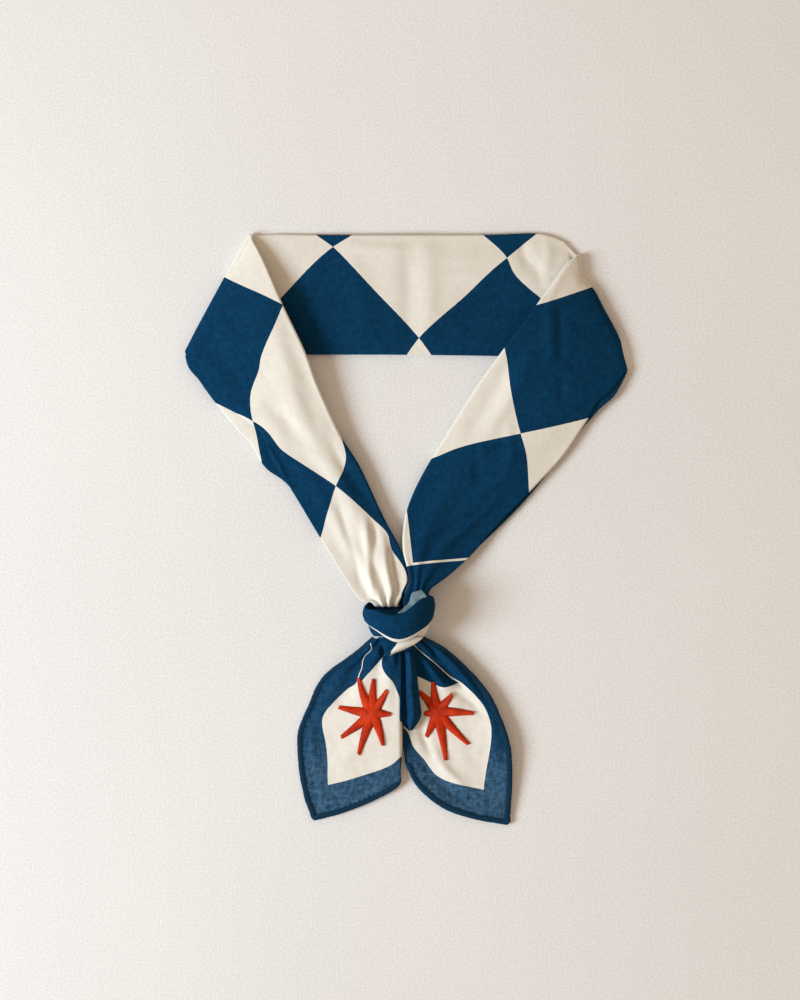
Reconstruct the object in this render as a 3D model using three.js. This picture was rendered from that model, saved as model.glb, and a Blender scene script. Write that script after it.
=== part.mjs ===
// A checked cotton neckerchief: a square folded to a band, laid in a loop and tied in one small knot.
// It lies on a table as it was put down. Millimetres, +Z up, and the knot points to -Y.
// The band is one strip of three walls. It turns over at both upper corners, so the arms lie on top
// of the back stretch, with the band's other face up.
import * as THREE from 'three';
import { mergeVertices } from 'three/addons/utils/BufferGeometryUtils.js';

// Loop and band
const HALF_SPAN = 113;         // from the middle of the loop to its outermost corner
const KNOT_DROP = 190;         // from the upper edge of the back stretch to where the arms enter the knot
const BAND_WIDTH = 63;
const CLOTH_WALL = 1.0;
const LAYER_GAP = 0.6;         // air between two walls of the folded band
const FOLD_RADIUS = 3.4;       // of the band's middle wall, where the band turns over at a corner
const GATHER_DEPTH = 1.6;      // half the height of the gathers at the knot

// Knot
const KNOT_WIDTH = 37;
const KNOT_HEIGHT = 25;
const KNOT_LENGTH = 20;
const KNOT_OFFSET = -3.8;      // the knot sits a little left of the middle of the loop
const WRAP_WALL = 1.6;
const WRAP_BULGE = 0.8;
const CORE_RIB = 0.9;          // depth of the gathers round the bundle in the knot
const FLAP_WALL = 2.2;         // the small fold under the wrap, cloth laid double
const FLAP_LENGTH = 11;
const FLAP_CROWN = 1.5;

// Tails
const TAIL_LENGTH = 95.3;
const TAIL_WIDTH = 54.4;
const TAIL_WALL = 1.0;
const PARTING_X = -1.6;        // the line where the two tails meet
const ROLL_RADIUS = 1.9;       // of the side of a tail that rolls under
const ROLL_TUCK = 9;           // how far that side goes back under
const PLEAT_WALL = 1.4;        // the pleat that laps over the right tail, cloth laid double
const TAIL_RIPPLE = 1.1;       // half the height of the gathers where the tails leave the knot

// Hem and star
const HEM_WIDTH = 3.0;
const HEM_HEIGHT = 1.7;
const STAR_REACH = 25;         // the longest arm of the embroidered stars
const STAR_ARM_WIDTH = 4.6;
const STAR_HEIGHT = 0.9;

const CLEARANCE = 0.3;         // between any two pieces that touch on the real scarf
const FOLDED_EDGE = 0.45;      // how thick a small fold is at its edges, as a share of its wall

// Worked out from the sizes above
const LAYER_STEP = CLOTH_WALL + LAYER_GAP;
const BAND_THICKNESS = 2 * LAYER_STEP + CLOTH_WALL;
const KNOT_MIDDLE = KNOT_HEIGHT / 2;
const UP = new THREE.Vector3(0, 0, 1);
const RADIANS = Math.PI / 180;

const NAVY = '#14406c';
const CREAM = '#ded2c2';
const RED = '#c8371c';

// The arms, from the corner fold to the knot. The inner edge of the loop is given by x, a share of
// HALF_SPAN, and down, a share of KNOT_DROP. From there the band reaches to its outer edge: reach is
// a share of BAND_WIDTH, slant is the angle from straight down, outwards. inner and outer are how high
// each edge lies, 1 being as high as the corner fold puts it; climb is the share of the climb to the
// knot; gather is a share of GATHER_DEPTH; peek, a share of BAND_WIDTH, is how far the under wall
// shows past the upper one.
const ARM_ROWS = {
  left: [
    { x: 0.71, down: 0.003, reach: 1.1, slant: 28.6, inner: 1, outer: 1,
      climb: 0, gather: 0, peek: 0 },
    { x: 0.633, down: 0.075, reach: 1.1, slant: 33, inner: 1.35, outer: 0.8,
      climb: 0, gather: 0, peek: 0 },
    { x: 0.551, down: 0.2, reach: 0.97, slant: 39, inner: 1.45, outer: 0.42,
      climb: 0, gather: 0.05, peek: 0.02 },
    { x: 0.454, down: 0.324, reach: 0.86, slant: 41, inner: 1.25, outer: 0.08,
      climb: 0, gather: 0.1, peek: 0.12 },
    { x: 0.397, down: 0.415, reach: 0.74, slant: 48, inner: 0.95, outer: 0.03,
      climb: 0, gather: 0.15, peek: 0.13 },
    { x: 0.293, down: 0.55, reach: 0.68, slant: 66, inner: 0.55, outer: 0,
      climb: 0, gather: 0.25, peek: 0.09 },
    { x: 0.206, down: 0.634, reach: 0.61, slant: 73, inner: 0.35, outer: 0,
      climb: 0.02, gather: 0.35, peek: 0.01 },
    { x: 0.098, down: 0.771, reach: 0.55, slant: 72, inner: 0.2, outer: 0,
      climb: 0.12, gather: 0.6, peek: 0 },
    { x: 0.016, down: 0.863, reach: 0.53, slant: 71, inner: 0.1, outer: 0,
      climb: 0.42, gather: 0.9, peek: 0 },
    { x: 0.002, down: 0.96, reach: 0.38, slant: 74, inner: 0, outer: 0,
      climb: 0.85, gather: 1, peek: 0 },
    { x: 0, down: 1, reach: 0.27, slant: 90, inner: 0, outer: 0,
      climb: 1, gather: 1, peek: 0 },
  ],
  right: [
    { x: 0.787, down: 0.057, reach: 1.05, slant: 21.4, inner: 1, outer: 1,
      climb: 0, gather: 0, peek: 0.03 },
    { x: 0.714, down: 0.092, reach: 1.14, slant: 22, inner: 1.15, outer: 0.65,
      climb: 0, gather: 0, peek: 0.06 },
    { x: 0.583, down: 0.2, reach: 1.01, slant: 31.5, inner: 1.25, outer: 0.36,
      climb: 0, gather: 0.05, peek: 0.06 },
    { x: 0.447, down: 0.31, reach: 0.93, slant: 45, inner: 1.1, outer: 0.06,
      climb: 0, gather: 0.05, peek: 0.02 },
    { x: 0.315, down: 0.418, reach: 0.91, slant: 51, inner: 0.55, outer: 0.02,
      climb: 0, gather: 0.1, peek: 0 },
    { x: 0.184, down: 0.542, reach: 0.86, slant: 52.5, inner: 0.2, outer: 0,
      climb: 0, gather: 0.15, peek: 0.03 },
    { x: 0.061, down: 0.666, reach: 0.77, slant: 58, inner: 0.05, outer: 0,
      climb: 0.02, gather: 0.25, peek: 0.03 },
    { x: 0.012, down: 0.763, reach: 0.6, slant: 59, inner: 0, outer: 0,
      climb: 0.2, gather: 0.45, peek: 0 },
    { x: 0.014, down: 0.852, reach: 0.38, slant: 60, inner: 0, outer: 0,
      climb: 0.52, gather: 0.5, peek: 0 },
    { x: 0.016, down: 0.935, reach: 0.19, slant: 62, inner: 0, outer: 0,
      climb: 0.86, gather: 0.3, peek: 0 },
    { x: 0.016, down: 1, reach: 0.165, slant: 90, inner: 0, outer: 0,
      climb: 1, gather: 0.25, peek: 0 },
  ],
};
const ARM_STEPS = 2;           // sections from one row of the table to the next
const FOLD_STEPS = 6;          // sections round the turn at a corner

// The back stretch, across from the left corner to the right one: where each section meets the upper
// and the lower edge, as shares of HALF_SPAN, and how far the lower edge sags, a share of BAND_WIDTH.
const BACK_ROWS = [
  { upper: -0.58, lower: -0.72, sag: 0.00 },
  { upper: -0.32, lower: -0.34, sag: 0.00 },
  { upper: 0.00, lower: 0.00, sag: 0.00 },
  { upper: 0.36, lower: 0.38, sag: 0.00 },
  { upper: 0.60, lower: 0.72, sag: 0.03 },
];

// The gathers across the band, one value for each of the lines that run along it
const GATHER_WAVE = [0, 0.9, -0.8, 1, -1, 0.8, 0];
const MIDDLE_WALL_END = 0.6;   // how far the middle wall reaches between the last two lines

function lerp(from, to, share) {
  return from + (to - from) * share;
}

// One column of a table at a place between its rows, on a smooth curve through all of them
function columnAt(rows, name, place) {
  const last = rows.length - 1;
  const first = Math.min(Math.floor(place), last - 1);
  const share = place - first;
  const value = (row) => rows[THREE.MathUtils.clamp(row, 0, last)][name];
  const [before, from, to, after] = [first - 1, first, first + 1, first + 2].map(value);
  const leave = (to - before) / 2;
  const arrive = (after - from) / 2;
  const square = share * share;
  const cube = square * share;
  return (2 * cube - 3 * square + 1) * from + (cube - 2 * square + share) * leave
    + (3 * square - 2 * cube) * to + (cube - square) * arrive;
}

function rowAt(rows, place) {
  return Object.fromEntries(Object.keys(rows[0]).map((name) => [name, columnAt(rows, name, place)]));
}

// A closed outline of a wall that follows a path: one side of the path, then the other side back.
// Each point of the path has its place and the direction in which the wall is thick.
function wallOutline(path, wall) {
  const side = (way) => path.map(({ at, across }) => at.clone().addScaledVector(across, way * wall / 2));
  return [...side(1), ...side(-1).reverse()];
}

function arcPoints(centre, radius, fromDegrees, toDegrees, steps) {
  const points = [];
  for (let step = 1; step < steps; step += 1) {
    const angle = lerp(fromDegrees, toDegrees, step / steps) * RADIANS;
    const across = new THREE.Vector2(Math.cos(angle), Math.sin(angle));
    points.push({ at: centre.clone().addScaledVector(across, radius), across });
  }
  return points;
}

// A solid through a row of sections that have equally many points, closed with a cap at each end.
// flats holds the same sections laid out flat, for the caps.
function loftSolid(sections, flats) {
  const count = sections[0].length;
  const positions = sections.flatMap((section) => section.flatMap((point) => point.toArray()));
  const faces = [];
  for (let row = 0; row + 1 < sections.length; row += 1) {
    for (let k = 0; k < count; k += 1) {
      const next = (k + 1) % count;
      const [a, b] = [row * count + k, row * count + next];
      const [c, d] = [a + count, b + count];
      faces.push([a, c, b], [b, c, d]);
    }
  }
  const cap = (flat, start, turn) => {
    const way = Math.sign(THREE.ShapeUtils.area(flat)) * (turn ? -1 : 1);
    for (const [a, b, c] of THREE.ShapeUtils.triangulateShape(flat, [])) {
      const facing = THREE.ShapeUtils.area([flat[a], flat[b], flat[c]]) * way >= 0;
      faces.push(facing ? [start + a, start + b, start + c] : [start + a, start + c, start + b]);
    }
  };
  cap(flats[0], 0, false);
  cap(flats[flats.length - 1], (sections.length - 1) * count, true);
  return solidGeometry(positions, faces);
}

// A ring through sections that closes on its first one
function ringSolid(sections) {
  const count = sections[0].length;
  const positions = sections.flatMap((section) => section.flatMap((point) => point.toArray()));
  const faces = [];
  for (let row = 0; row < sections.length; row += 1) {
    const following = (row + 1) % sections.length;
    for (let k = 0; k < count; k += 1) {
      const next = (k + 1) % count;
      const [a, b] = [row * count + k, row * count + next];
      const [c, d] = [following * count + k, following * count + next];
      faces.push([a, c, b], [b, c, d]);
    }
  }
  return solidGeometry(positions, faces);
}

function solidGeometry(positions, faces) {
  const geometry = new THREE.BufferGeometry();
  geometry.setAttribute('position', new THREE.Float32BufferAttribute(positions, 3));
  geometry.setIndex(faces.flat());
  if (signedVolume(positions, faces) < 0) {
    geometry.setIndex(faces.map(([a, b, c]) => [a, c, b]).flat());
  }
  return mergeVertices(geometry, 1e-4);
}

function signedVolume(positions, faces) {
  const corner = (k) => new THREE.Vector3().fromArray(positions, 3 * k);
  return faces.reduce((sum, [a, b, c]) => sum + corner(a).dot(corner(b).cross(corner(c))) / 6, 0);
}

function namedMesh(name, geometry, color, roughness = 0.95) {
  const mesh = new THREE.Mesh(geometry, new THREE.MeshStandardMaterial({ color, roughness, metalness: 0 }));
  mesh.name = name;
  return mesh;
}

// The folded band across its width. The outer wall starts at its free edge, turns over the closed
// edge, comes back as the other face, turns again and ends in the middle.
function bandOutline(width, peek, gather) {
  const half = width / 2 - LAYER_STEP;
  const lines = GATHER_WAVE.map((_, k) => lerp(-half, half, k / (GATHER_WAVE.length - 1)));
  const depthAt = (b) => {
    const place = THREE.MathUtils.clamp((b + half) / (2 * half), 0, 1) * (GATHER_WAVE.length - 1);
    const first = Math.min(Math.floor(place), GATHER_WAVE.length - 2);
    return gather * GATHER_DEPTH * lerp(GATHER_WAVE[first], GATHER_WAVE[first + 1], place - first);
  };
  const wallPoint = (b, layer, way) => ({
    at: new THREE.Vector2(b, layer * LAYER_STEP + depthAt(b)), across: new THREE.Vector2(0, way),
  });
  const closedTurn = new THREE.Vector2(half, depthAt(half));
  const openTurn = new THREE.Vector2(-half, LAYER_STEP / 2 + depthAt(-half));
  const freeEdge = -half - (LAYER_STEP + CLOTH_WALL) / 2 + peek;
  const middleEnd = lerp(lines[lines.length - 2], lines[lines.length - 1], MIDDLE_WALL_END);
  const outer = [freeEdge, ...lines.slice(1)].map((b) => wallPoint(b, -1, -1));
  const back = [...lines].reverse().map((b) => wallPoint(b, 1, 1));
  const middle = [...lines.slice(0, -1), middleEnd].map((b) => wallPoint(b, 0, -1));
  return wallOutline([
    ...outer,
    ...arcPoints(closedTurn, LAYER_STEP, -90, 90, 4),
    ...back,
    ...arcPoints(openTurn, LAYER_STEP / 2, 90, 270, 4),
    ...middle,
  ], CLOTH_WALL);
}

// A section of the band between its inner and outer edge. turn is how far the band has turned over,
// from 0 on the back stretch to 180 degrees on an arm; side is -1 left and 1 right.
function bandSection({ inner, outer, turn, side, peek, gather }) {
  const ruling = inner.clone().sub(outer).normalize();
  const width = inner.distanceTo(outer);
  const up = UP.clone().addScaledVector(ruling, -UP.dot(ruling)).normalize();
  const outwards = up.clone().cross(ruling).multiplyScalar(-side);
  const normal = up.multiplyScalar(Math.cos(turn)).addScaledVector(outwards, -Math.sin(turn));
  const centre = inner.clone().add(outer).multiplyScalar(0.5);
  const flat = bandOutline(width, peek, gather);
  const points = flat.map(({ x, y }) => centre.clone().addScaledVector(ruling, x).addScaledVector(normal, y));
  return { points, flat };
}

// Where the edges of an arm lie at a place between two rows of its table
function armEdges(name, place) {
  const side = name === 'left' ? -1 : 1;
  const row = rowAt(ARM_ROWS[name], place);
  const slant = row.slant * RADIANS;
  const rise = 2 * FOLD_RADIUS;
  const level = BAND_THICKNESS / 2 + row.gather * GATHER_DEPTH
    + row.climb * (KNOT_MIDDLE - BAND_THICKNESS / 2 - GATHER_DEPTH * row.gather);
  const inner = new THREE.Vector3(side * row.x * HALF_SPAN, -row.down * KNOT_DROP, level + row.inner * rise);
  const outer = new THREE.Vector3(
    inner.x + side * row.reach * BAND_WIDTH * Math.sin(slant),
    inner.y - row.reach * BAND_WIDTH * Math.cos(slant),
    level + row.outer * rise,
  );
  return { inner, outer, side, gather: row.gather, peek: row.peek * BAND_WIDTH };
}

// The line about which the band turns over at a corner, inside the corner's outline
function cornerAxis(name) {
  const { inner, outer, side } = armEdges(name, 0);
  const ruling = inner.clone().sub(outer).normalize();
  const outwards = UP.clone().cross(ruling).multiplyScalar(-side);
  const inset = -(FOLD_RADIUS + BAND_THICKNESS / 2);
  const level = FOLD_RADIUS + BAND_THICKNESS / 2;
  const move = (point) => point.clone().addScaledVector(outwards, inset).setZ(level);
  return { inner: move(inner), outer: move(outer), outwards, side };
}

function cornerSections(name) {
  const axis = cornerAxis(name);
  const { peek } = armEdges(name, 0);
  const sections = [];
  for (let step = 0; step <= FOLD_STEPS; step += 1) {
    const turn = Math.PI * step / FOLD_STEPS;
    const round = axis.outwards.clone().multiplyScalar(FOLD_RADIUS * Math.sin(turn))
      .addScaledVector(UP, -FOLD_RADIUS * Math.cos(turn));
    const showing = peek * step / FOLD_STEPS;
    sections.push(bandSection({
      inner: axis.inner.clone().add(round), outer: axis.outer.clone().add(round),
      turn, side: axis.side, peek: showing, gather: 0,
    }));
  }
  return sections;
}

function armSections(name) {
  const sections = [];
  const steps = (ARM_ROWS[name].length - 1) * ARM_STEPS;
  for (let step = 1; step <= steps; step += 1) {
    sections.push(bandSection({ ...armEdges(name, step / ARM_STEPS), turn: Math.PI }));
  }
  return sections;
}

function backSections() {
  return BACK_ROWS.map((row) => bandSection({
    inner: new THREE.Vector3(row.upper * HALF_SPAN, 0, BAND_THICKNESS / 2),
    outer: new THREE.Vector3(row.lower * HALF_SPAN, -(1 + row.sag) * BAND_WIDTH, BAND_THICKNESS / 2),
    turn: 0, side: 1, peek: 0, gather: 0,
  }));
}

function neckBand() {
  const sections = [
    ...armSections('left').reverse(), ...cornerSections('left').reverse(),
    ...backSections(),
    ...cornerSections('right'), ...armSections('right'),
  ];
  return loftSolid(sections.map(({ points }) => points), sections.map(({ flat }) => flat));
}

// The wrap, round the knot from its front over the right side to the back and the left: where its
// upper lip and its lower rim lie below the arms' ends, as shares of KNOT_LENGTH.
const WRAP_ROWS = [
  { lip: 0.27, rim: 0.96 },
  { lip: -0.13, rim: 0.70 },
  { lip: -0.16, rim: 0.32 },
  { lip: -0.20, rim: 0.20 },
  { lip: -0.20, rim: 0.20 },
  { lip: -0.08, rim: 0.25 },
  { lip: 0.12, rim: 0.38 },
  { lip: 0.17, rim: 0.66 },
];
const WRAP_SIDES = 32;
const WRAP_CROSS = 5;          // points from lip to rim on each face of the wrap
const WRAP_EDGE = 0.04;        // where its rounded edges begin, a share of the way across

function ringRow(place) {
  const count = WRAP_ROWS.length;
  const rows = [-1, 0, 1, 2].map((step) => WRAP_ROWS[(Math.floor(place) + step + count) % count]);
  return rowAt(rows, 1 + place - Math.floor(place));
}

// The wrap's face at an angle from the front, at a share of its way from lip to rim
function wrapPoint(angle, share, inset) {
  const row = ringRow((angle / (2 * Math.PI)) * WRAP_ROWS.length);
  const swell = WRAP_BULGE * (1 - (2 * share - 1) ** 2) - WRAP_BULGE - inset;
  return new THREE.Vector3(
    KNOT_OFFSET + (KNOT_WIDTH / 2 + swell) * Math.sin(angle),
    -KNOT_DROP - KNOT_LENGTH * lerp(row.lip, row.rim, share),
    KNOT_MIDDLE + (KNOT_HEIGHT / 2 + swell) * Math.cos(angle),
  );
}

function knotWrap() {
  const sections = [];
  for (let side = 0; side < WRAP_SIDES; side += 1) {
    const angle = 2 * Math.PI * side / WRAP_SIDES;
    const shares = Array.from({ length: WRAP_CROSS }, (_, k) => k / (WRAP_CROSS - 1));
    const edge = WRAP_WALL / 2;
    sections.push([
      wrapPoint(angle, WRAP_EDGE, edge / 2),
      ...shares.slice(1, -1).map((share) => wrapPoint(angle, share, 0)),
      wrapPoint(angle, 1 - WRAP_EDGE, edge / 2),
      wrapPoint(angle, 1, edge),
      wrapPoint(angle, 1 - WRAP_EDGE, WRAP_WALL - edge / 2),
      ...shares.slice(1, -1).reverse().map((share) => wrapPoint(angle, share, WRAP_WALL)),
      wrapPoint(angle, WRAP_EDGE, WRAP_WALL - edge / 2),
      wrapPoint(angle, 0, edge),
    ]);
  }
  return ringSolid(sections);
}

// The gathered bundle inside the wrap, from the arms' ends to the tails: along is a share of
// KNOT_LENGTH, wide and high are shares of the room inside the wrap.
const CORE_ROWS = [
  { along: 0.00, wide: 0.97, high: 0.60 },
  { along: 0.22, wide: 1.00, high: 0.90 },
  { along: 0.48, wide: 1.00, high: 1.00 },
  { along: 0.70, wide: 0.92, high: 0.90 },
  { along: 0.82, wide: 0.80, high: 0.62 },
];
const CORE_SIDES = 32;
const CORE_RIBS = 8;
const CORE_END = CORE_ROWS[CORE_ROWS.length - 1].along * KNOT_LENGTH;
const CORE_ROOM = WRAP_WALL + WRAP_BULGE + CLEARANCE;

function knotCore() {
  const sections = [];
  const flats = [];
  const steps = (CORE_ROWS.length - 1) * 2;
  for (let step = 0; step <= steps; step += 1) {
    const row = rowAt(CORE_ROWS, step / 2);
    const flat = [];
    for (let side = 0; side < CORE_SIDES; side += 1) {
      const angle = 2 * Math.PI * side / CORE_SIDES;
      const rib = CORE_RIB * (0.5 - 0.5 * Math.cos(CORE_RIBS * angle));
      flat.push(new THREE.Vector2(
        (row.wide * (KNOT_WIDTH / 2 - CORE_ROOM) - rib) * Math.sin(angle),
        (row.high * (KNOT_HEIGHT / 2 - CORE_ROOM) - rib) * Math.cos(angle),
      ));
    }
    flats.push(flat);
    const y = -KNOT_DROP - CLEARANCE - row.along * KNOT_LENGTH;
    sections.push(flat.map((point) => new THREE.Vector3(KNOT_OFFSET + point.x, y, KNOT_MIDDLE + point.y)));
  }
  return loftSolid(sections, flats);
}

// The tails, from the knot to the tip. along is a share of TAIL_LENGTH and out a share of TAIL_WIDTH
// from the parting line, for the outer, hemmed side and the inner side. high is how high each side
// lies and crown how far the middle rises over them, as shares of KNOT_MIDDLE; ripple is a share of
// TAIL_RIPPLE; roll is 1 where the inner side rolls under and 0 where it ends in the hem.
const TAIL_ROWS = {
  left: [
    { outAlong: 0, outOut: 0.28, inAlong: 0, inOut: 0.02,
      outHigh: 0.62, inHigh: 0.72, crown: 0.05, ripple: 0.9, roll: 0.6 },
    { outAlong: 0.09, outOut: 0.46, inAlong: 0.09, inOut: 0.01,
      outHigh: 0.36, inHigh: 0.64, crown: 0.12, ripple: 1, roll: 0.8 },
    { outAlong: 0.22, outOut: 0.75, inAlong: 0.24, inOut: 0,
      outHigh: 0.14, inHigh: 0.55, crown: 0.1, ripple: 0.5, roll: 1 },
    { outAlong: 0.38, outOut: 0.89, inAlong: 0.39, inOut: 0,
      outHigh: 0.08, inHigh: 0.5, crown: 0.06, ripple: 0.1, roll: 1 },
    { outAlong: 0.51, outOut: 0.98, inAlong: 0.51, inOut: 0,
      outHigh: 0.08, inHigh: 0.46, crown: 0.03, ripple: 0.1, roll: 1 },
    { outAlong: 0.62, outOut: 0.99, inAlong: 0.61, inOut: 0,
      outHigh: 0.08, inHigh: 0.42, crown: 0.02, ripple: 0.1, roll: 0.9 },
    { outAlong: 0.76, outOut: 0.965, inAlong: 0.72, inOut: 0.01,
      outHigh: 0.08, inHigh: 0.34, crown: 0.01, ripple: 0.1, roll: 0.6 },
    { outAlong: 0.87, outOut: 0.925, inAlong: 0.81, inOut: 0.04,
      outHigh: 0.1, inHigh: 0.24, crown: 0.01, ripple: 0.1, roll: 0.1 },
    { outAlong: 0.92, outOut: 0.895, inAlong: 0.9, inOut: 0.32,
      outHigh: 0.12, inHigh: 0.18, crown: 0.01, ripple: 0, roll: 0 },
    { outAlong: 0.95, outOut: 0.872, inAlong: 0.96, inOut: 0.59,
      outHigh: 0.13, inHigh: 0.17, crown: 0.01, ripple: 0, roll: 0 },
  ],
  right: [
    { outAlong: 0, outOut: 0.19, inAlong: 0, inOut: 0.02,
      outHigh: 0.66, inHigh: 0.66, crown: 0.05, ripple: 0.6, roll: 0.3 },
    { outAlong: 0.08, outOut: 0.43, inAlong: 0.09, inOut: 0.01,
      outHigh: 0.5, inHigh: 0.56, crown: 0.1, ripple: 1, roll: 0.3 },
    { outAlong: 0.27, outOut: 0.76, inAlong: 0.25, inOut: 0.01,
      outHigh: 0.4, inHigh: 0.4, crown: 0.06, ripple: 0.5, roll: 0.3 },
    { outAlong: 0.44, outOut: 0.92, inAlong: 0.39, inOut: 0.01,
      outHigh: 0.42, inHigh: 0.3, crown: 0, ripple: 0.2, roll: 0.3 },
    { outAlong: 0.58, outOut: 1, inAlong: 0.51, inOut: 0.01,
      outHigh: 0.42, inHigh: 0.24, crown: -0.03, ripple: 0.1, roll: 0.2 },
    { outAlong: 0.7, outOut: 1.02, inAlong: 0.61, inOut: 0.01,
      outHigh: 0.36, inHigh: 0.2, crown: -0.04, ripple: 0.1, roll: 0.1 },
    { outAlong: 0.8, outOut: 1.02, inAlong: 0.71, inOut: 0.03,
      outHigh: 0.28, inHigh: 0.18, crown: -0.03, ripple: 0.1, roll: 0 },
    { outAlong: 0.91, outOut: 1.01, inAlong: 0.82, inOut: 0.14,
      outHigh: 0.2, inHigh: 0.17, crown: -0.02, ripple: 0, roll: 0 },
    { outAlong: 0.95, outOut: 1.005, inAlong: 0.93, inOut: 0.38,
      outHigh: 0.16, inHigh: 0.17, crown: 0, ripple: 0, roll: 0 },
    { outAlong: 0.97, outOut: 0.998, inAlong: 0.99, inOut: 0.68,
      outHigh: 0.15, inHigh: 0.17, crown: 0, ripple: 0, roll: 0 },
  ],
};
const TAIL_TIPS = {
  left: { along: 1.00, out: 0.835, high: 0.14 },
  right: { along: 1.025, out: 0.985, high: 0.13 },
};
const HEM_START_ROW = { left: 7, right: 6 };
const TAIL_STEPS = 2;
const TAIL_LINES = 10;         // lines that run along a tail from the knot to the tip
const TAIL_WAVES = 2.5;        // gathers across a tail where it leaves the knot
const TIGHTEST_ROLL = 0.45;    // a share of a wall and the air beside it
const SHARPEST_CORNER = 0.6;   // limits how far an offset outline is stretched at a corner

function tailPlace(name, along, out, high) {
  const side = name === 'left' ? -1 : 1;
  const top = KNOT_DROP + 2 * CLEARANCE + CORE_END;
  return new THREE.Vector3(
    PARTING_X + side * (CLEARANCE + out * TAIL_WIDTH), -top - along * TAIL_LENGTH, high * KNOT_MIDDLE);
}

// The hemmed outline of a tail: down its outer side, round the tip and along its lower edge
function tailOutline(name) {
  const rows = TAIL_ROWS[name];
  const last = (rows.length - 1) * TAIL_STEPS;
  const outline = [];
  for (let step = 0; step <= last; step += 1) {
    const row = rowAt(rows, step / TAIL_STEPS);
    outline.push(tailPlace(name, row.outAlong, row.outOut, row.outHigh));
  }
  const tip = TAIL_TIPS[name];
  outline.push(tailPlace(name, tip.along, tip.out, tip.high));
  for (let step = last; step >= HEM_START_ROW[name] * TAIL_STEPS; step -= 1) {
    const row = rowAt(rows, step / TAIL_STEPS);
    outline.push(tailPlace(name, row.inAlong, row.inOut, row.inHigh));
  }
  return outline;
}

// The outline moved inwards in plan, so that the hem or the cloth beside it follows it
function insetOutline(name, outline, inset) {
  const side = name === 'left' ? -1 : 1;
  return outline.map((point, k) => {
    const before = outline[Math.max(k - 1, 0)];
    const after = outline[Math.min(k + 1, outline.length - 1)];
    const way = new THREE.Vector2(after.x - before.x, after.y - before.y).normalize();
    const corner = k > 0 && k < outline.length - 1 ? cornerStretch(before, point, after) : 1;
    return new THREE.Vector3(
      point.x + side * way.y * inset * corner, point.y - side * way.x * inset * corner, point.z);
  });
}

function cornerStretch(before, point, after) {
  const first = new THREE.Vector2(point.x - before.x, point.y - before.y).normalize();
  const second = new THREE.Vector2(after.x - point.x, after.y - point.y).normalize();
  return 1 / Math.max(SHARPEST_CORNER, Math.sqrt((1 + first.dot(second)) / 2));
}

// A tail across its width, from the outer edge to the inner one, in plan and height
function tailPath(row, outer, inner) {
  const radius = Math.max(row.roll * ROLL_RADIUS, TIGHTEST_ROLL * (TAIL_WALL + LAYER_GAP));
  const flatWidth = Math.hypot(inner.x - outer.x, inner.y - outer.y) - radius - TAIL_WALL / 2;
  const path = [];
  for (let line = 0; line < TAIL_LINES; line += 1) {
    const share = line / (TAIL_LINES - 1);
    const rise = row.crown * KNOT_MIDDLE * 4 * share * (1 - share)
      + row.ripple * TAIL_RIPPLE * Math.sin(share * 2 * Math.PI * TAIL_WAVES) * Math.min(1, 4 * share);
    path.push({
      at: new THREE.Vector2(share * flatWidth, rise), across: new THREE.Vector2(0, 1),
    });
  }
  const end = path[path.length - 1].at;
  const centre = new THREE.Vector2(end.x, end.y - radius);
  path.push(...arcPoints(centre, radius, 90, -90, 4));
  const tuck = Math.max(row.roll * ROLL_TUCK, TAIL_WALL);
  for (const share of [0, 0.5, 1]) {
    const at = new THREE.Vector2(centre.x - share * tuck, centre.y - radius);
    path.push({ at, across: new THREE.Vector2(0, -1) });
  }
  return path;
}

function tailGeometry(name) {
  const side = name === 'left' ? -1 : 1;
  const rows = TAIL_ROWS[name];
  const outline = tailOutline(name);
  const edge = insetOutline(name, outline, HEM_WIDTH + CLEARANCE);
  const last = (rows.length - 1) * TAIL_STEPS;
  const sections = [];
  const flats = [];
  for (let step = 0; step <= last; step += 1) {
    const row = rowAt(rows, step / TAIL_STEPS);
    const hemmed = step >= HEM_START_ROW[name] * TAIL_STEPS;
    const outer = edge[step];
    const inner = hemmed ? edge[2 * last + 2 - step] : tailPlace(name, row.inAlong, row.inOut, row.inHigh);
    const path = tailPath(row, outer, inner);
    const flat = wallOutline(path, TAIL_WALL);
    const way = new THREE.Vector3(inner.x - outer.x, inner.y - outer.y, 0);
    const width = way.length();
    way.normalize();
    sections.push(flat.map((point) => outer.clone().addScaledVector(way, point.x)
      .setZ(lerp(outer.z, inner.z, THREE.MathUtils.clamp(point.x / width, 0, 1)) + point.y)));
    flats.push(flat);
  }
  return loftSolid(sections, flats);
}

// The rolled hem, a flat rounded cord along the cut edge
const HEM_SIDES = 8;

function hemGeometry(name) {
  const outline = insetOutline(name, tailOutline(name), HEM_WIDTH / 2);
  const sections = [];
  const flats = [];
  outline.forEach((point, k) => {
    const before = outline[Math.max(k - 1, 0)];
    const after = outline[Math.min(k + 1, outline.length - 1)];
    const way = after.clone().sub(before).setZ(0).normalize();
    const sideways = new THREE.Vector3(-way.y, way.x, 0);
    const corner = k > 0 && k < outline.length - 1 ? cornerStretch(before, point, after) : 1;
    const flat = [];
    for (let side = 0; side < HEM_SIDES; side += 1) {
      const angle = 2 * Math.PI * (side + 0.5) / HEM_SIDES;
      const square = 1 / Math.cos(Math.PI / HEM_SIDES);
      flat.push(new THREE.Vector2(
        HEM_WIDTH / 2 * square * Math.cos(angle), HEM_HEIGHT / 2 * square * Math.sin(angle)));
    }
    flats.push(flat);
    sections.push(flat.map(({ x, y }) => point.clone().addScaledVector(sideways, x * corner)
      .addScaledVector(UP, y)));
  });
  return loftSolid(sections, flats);
}

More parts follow.
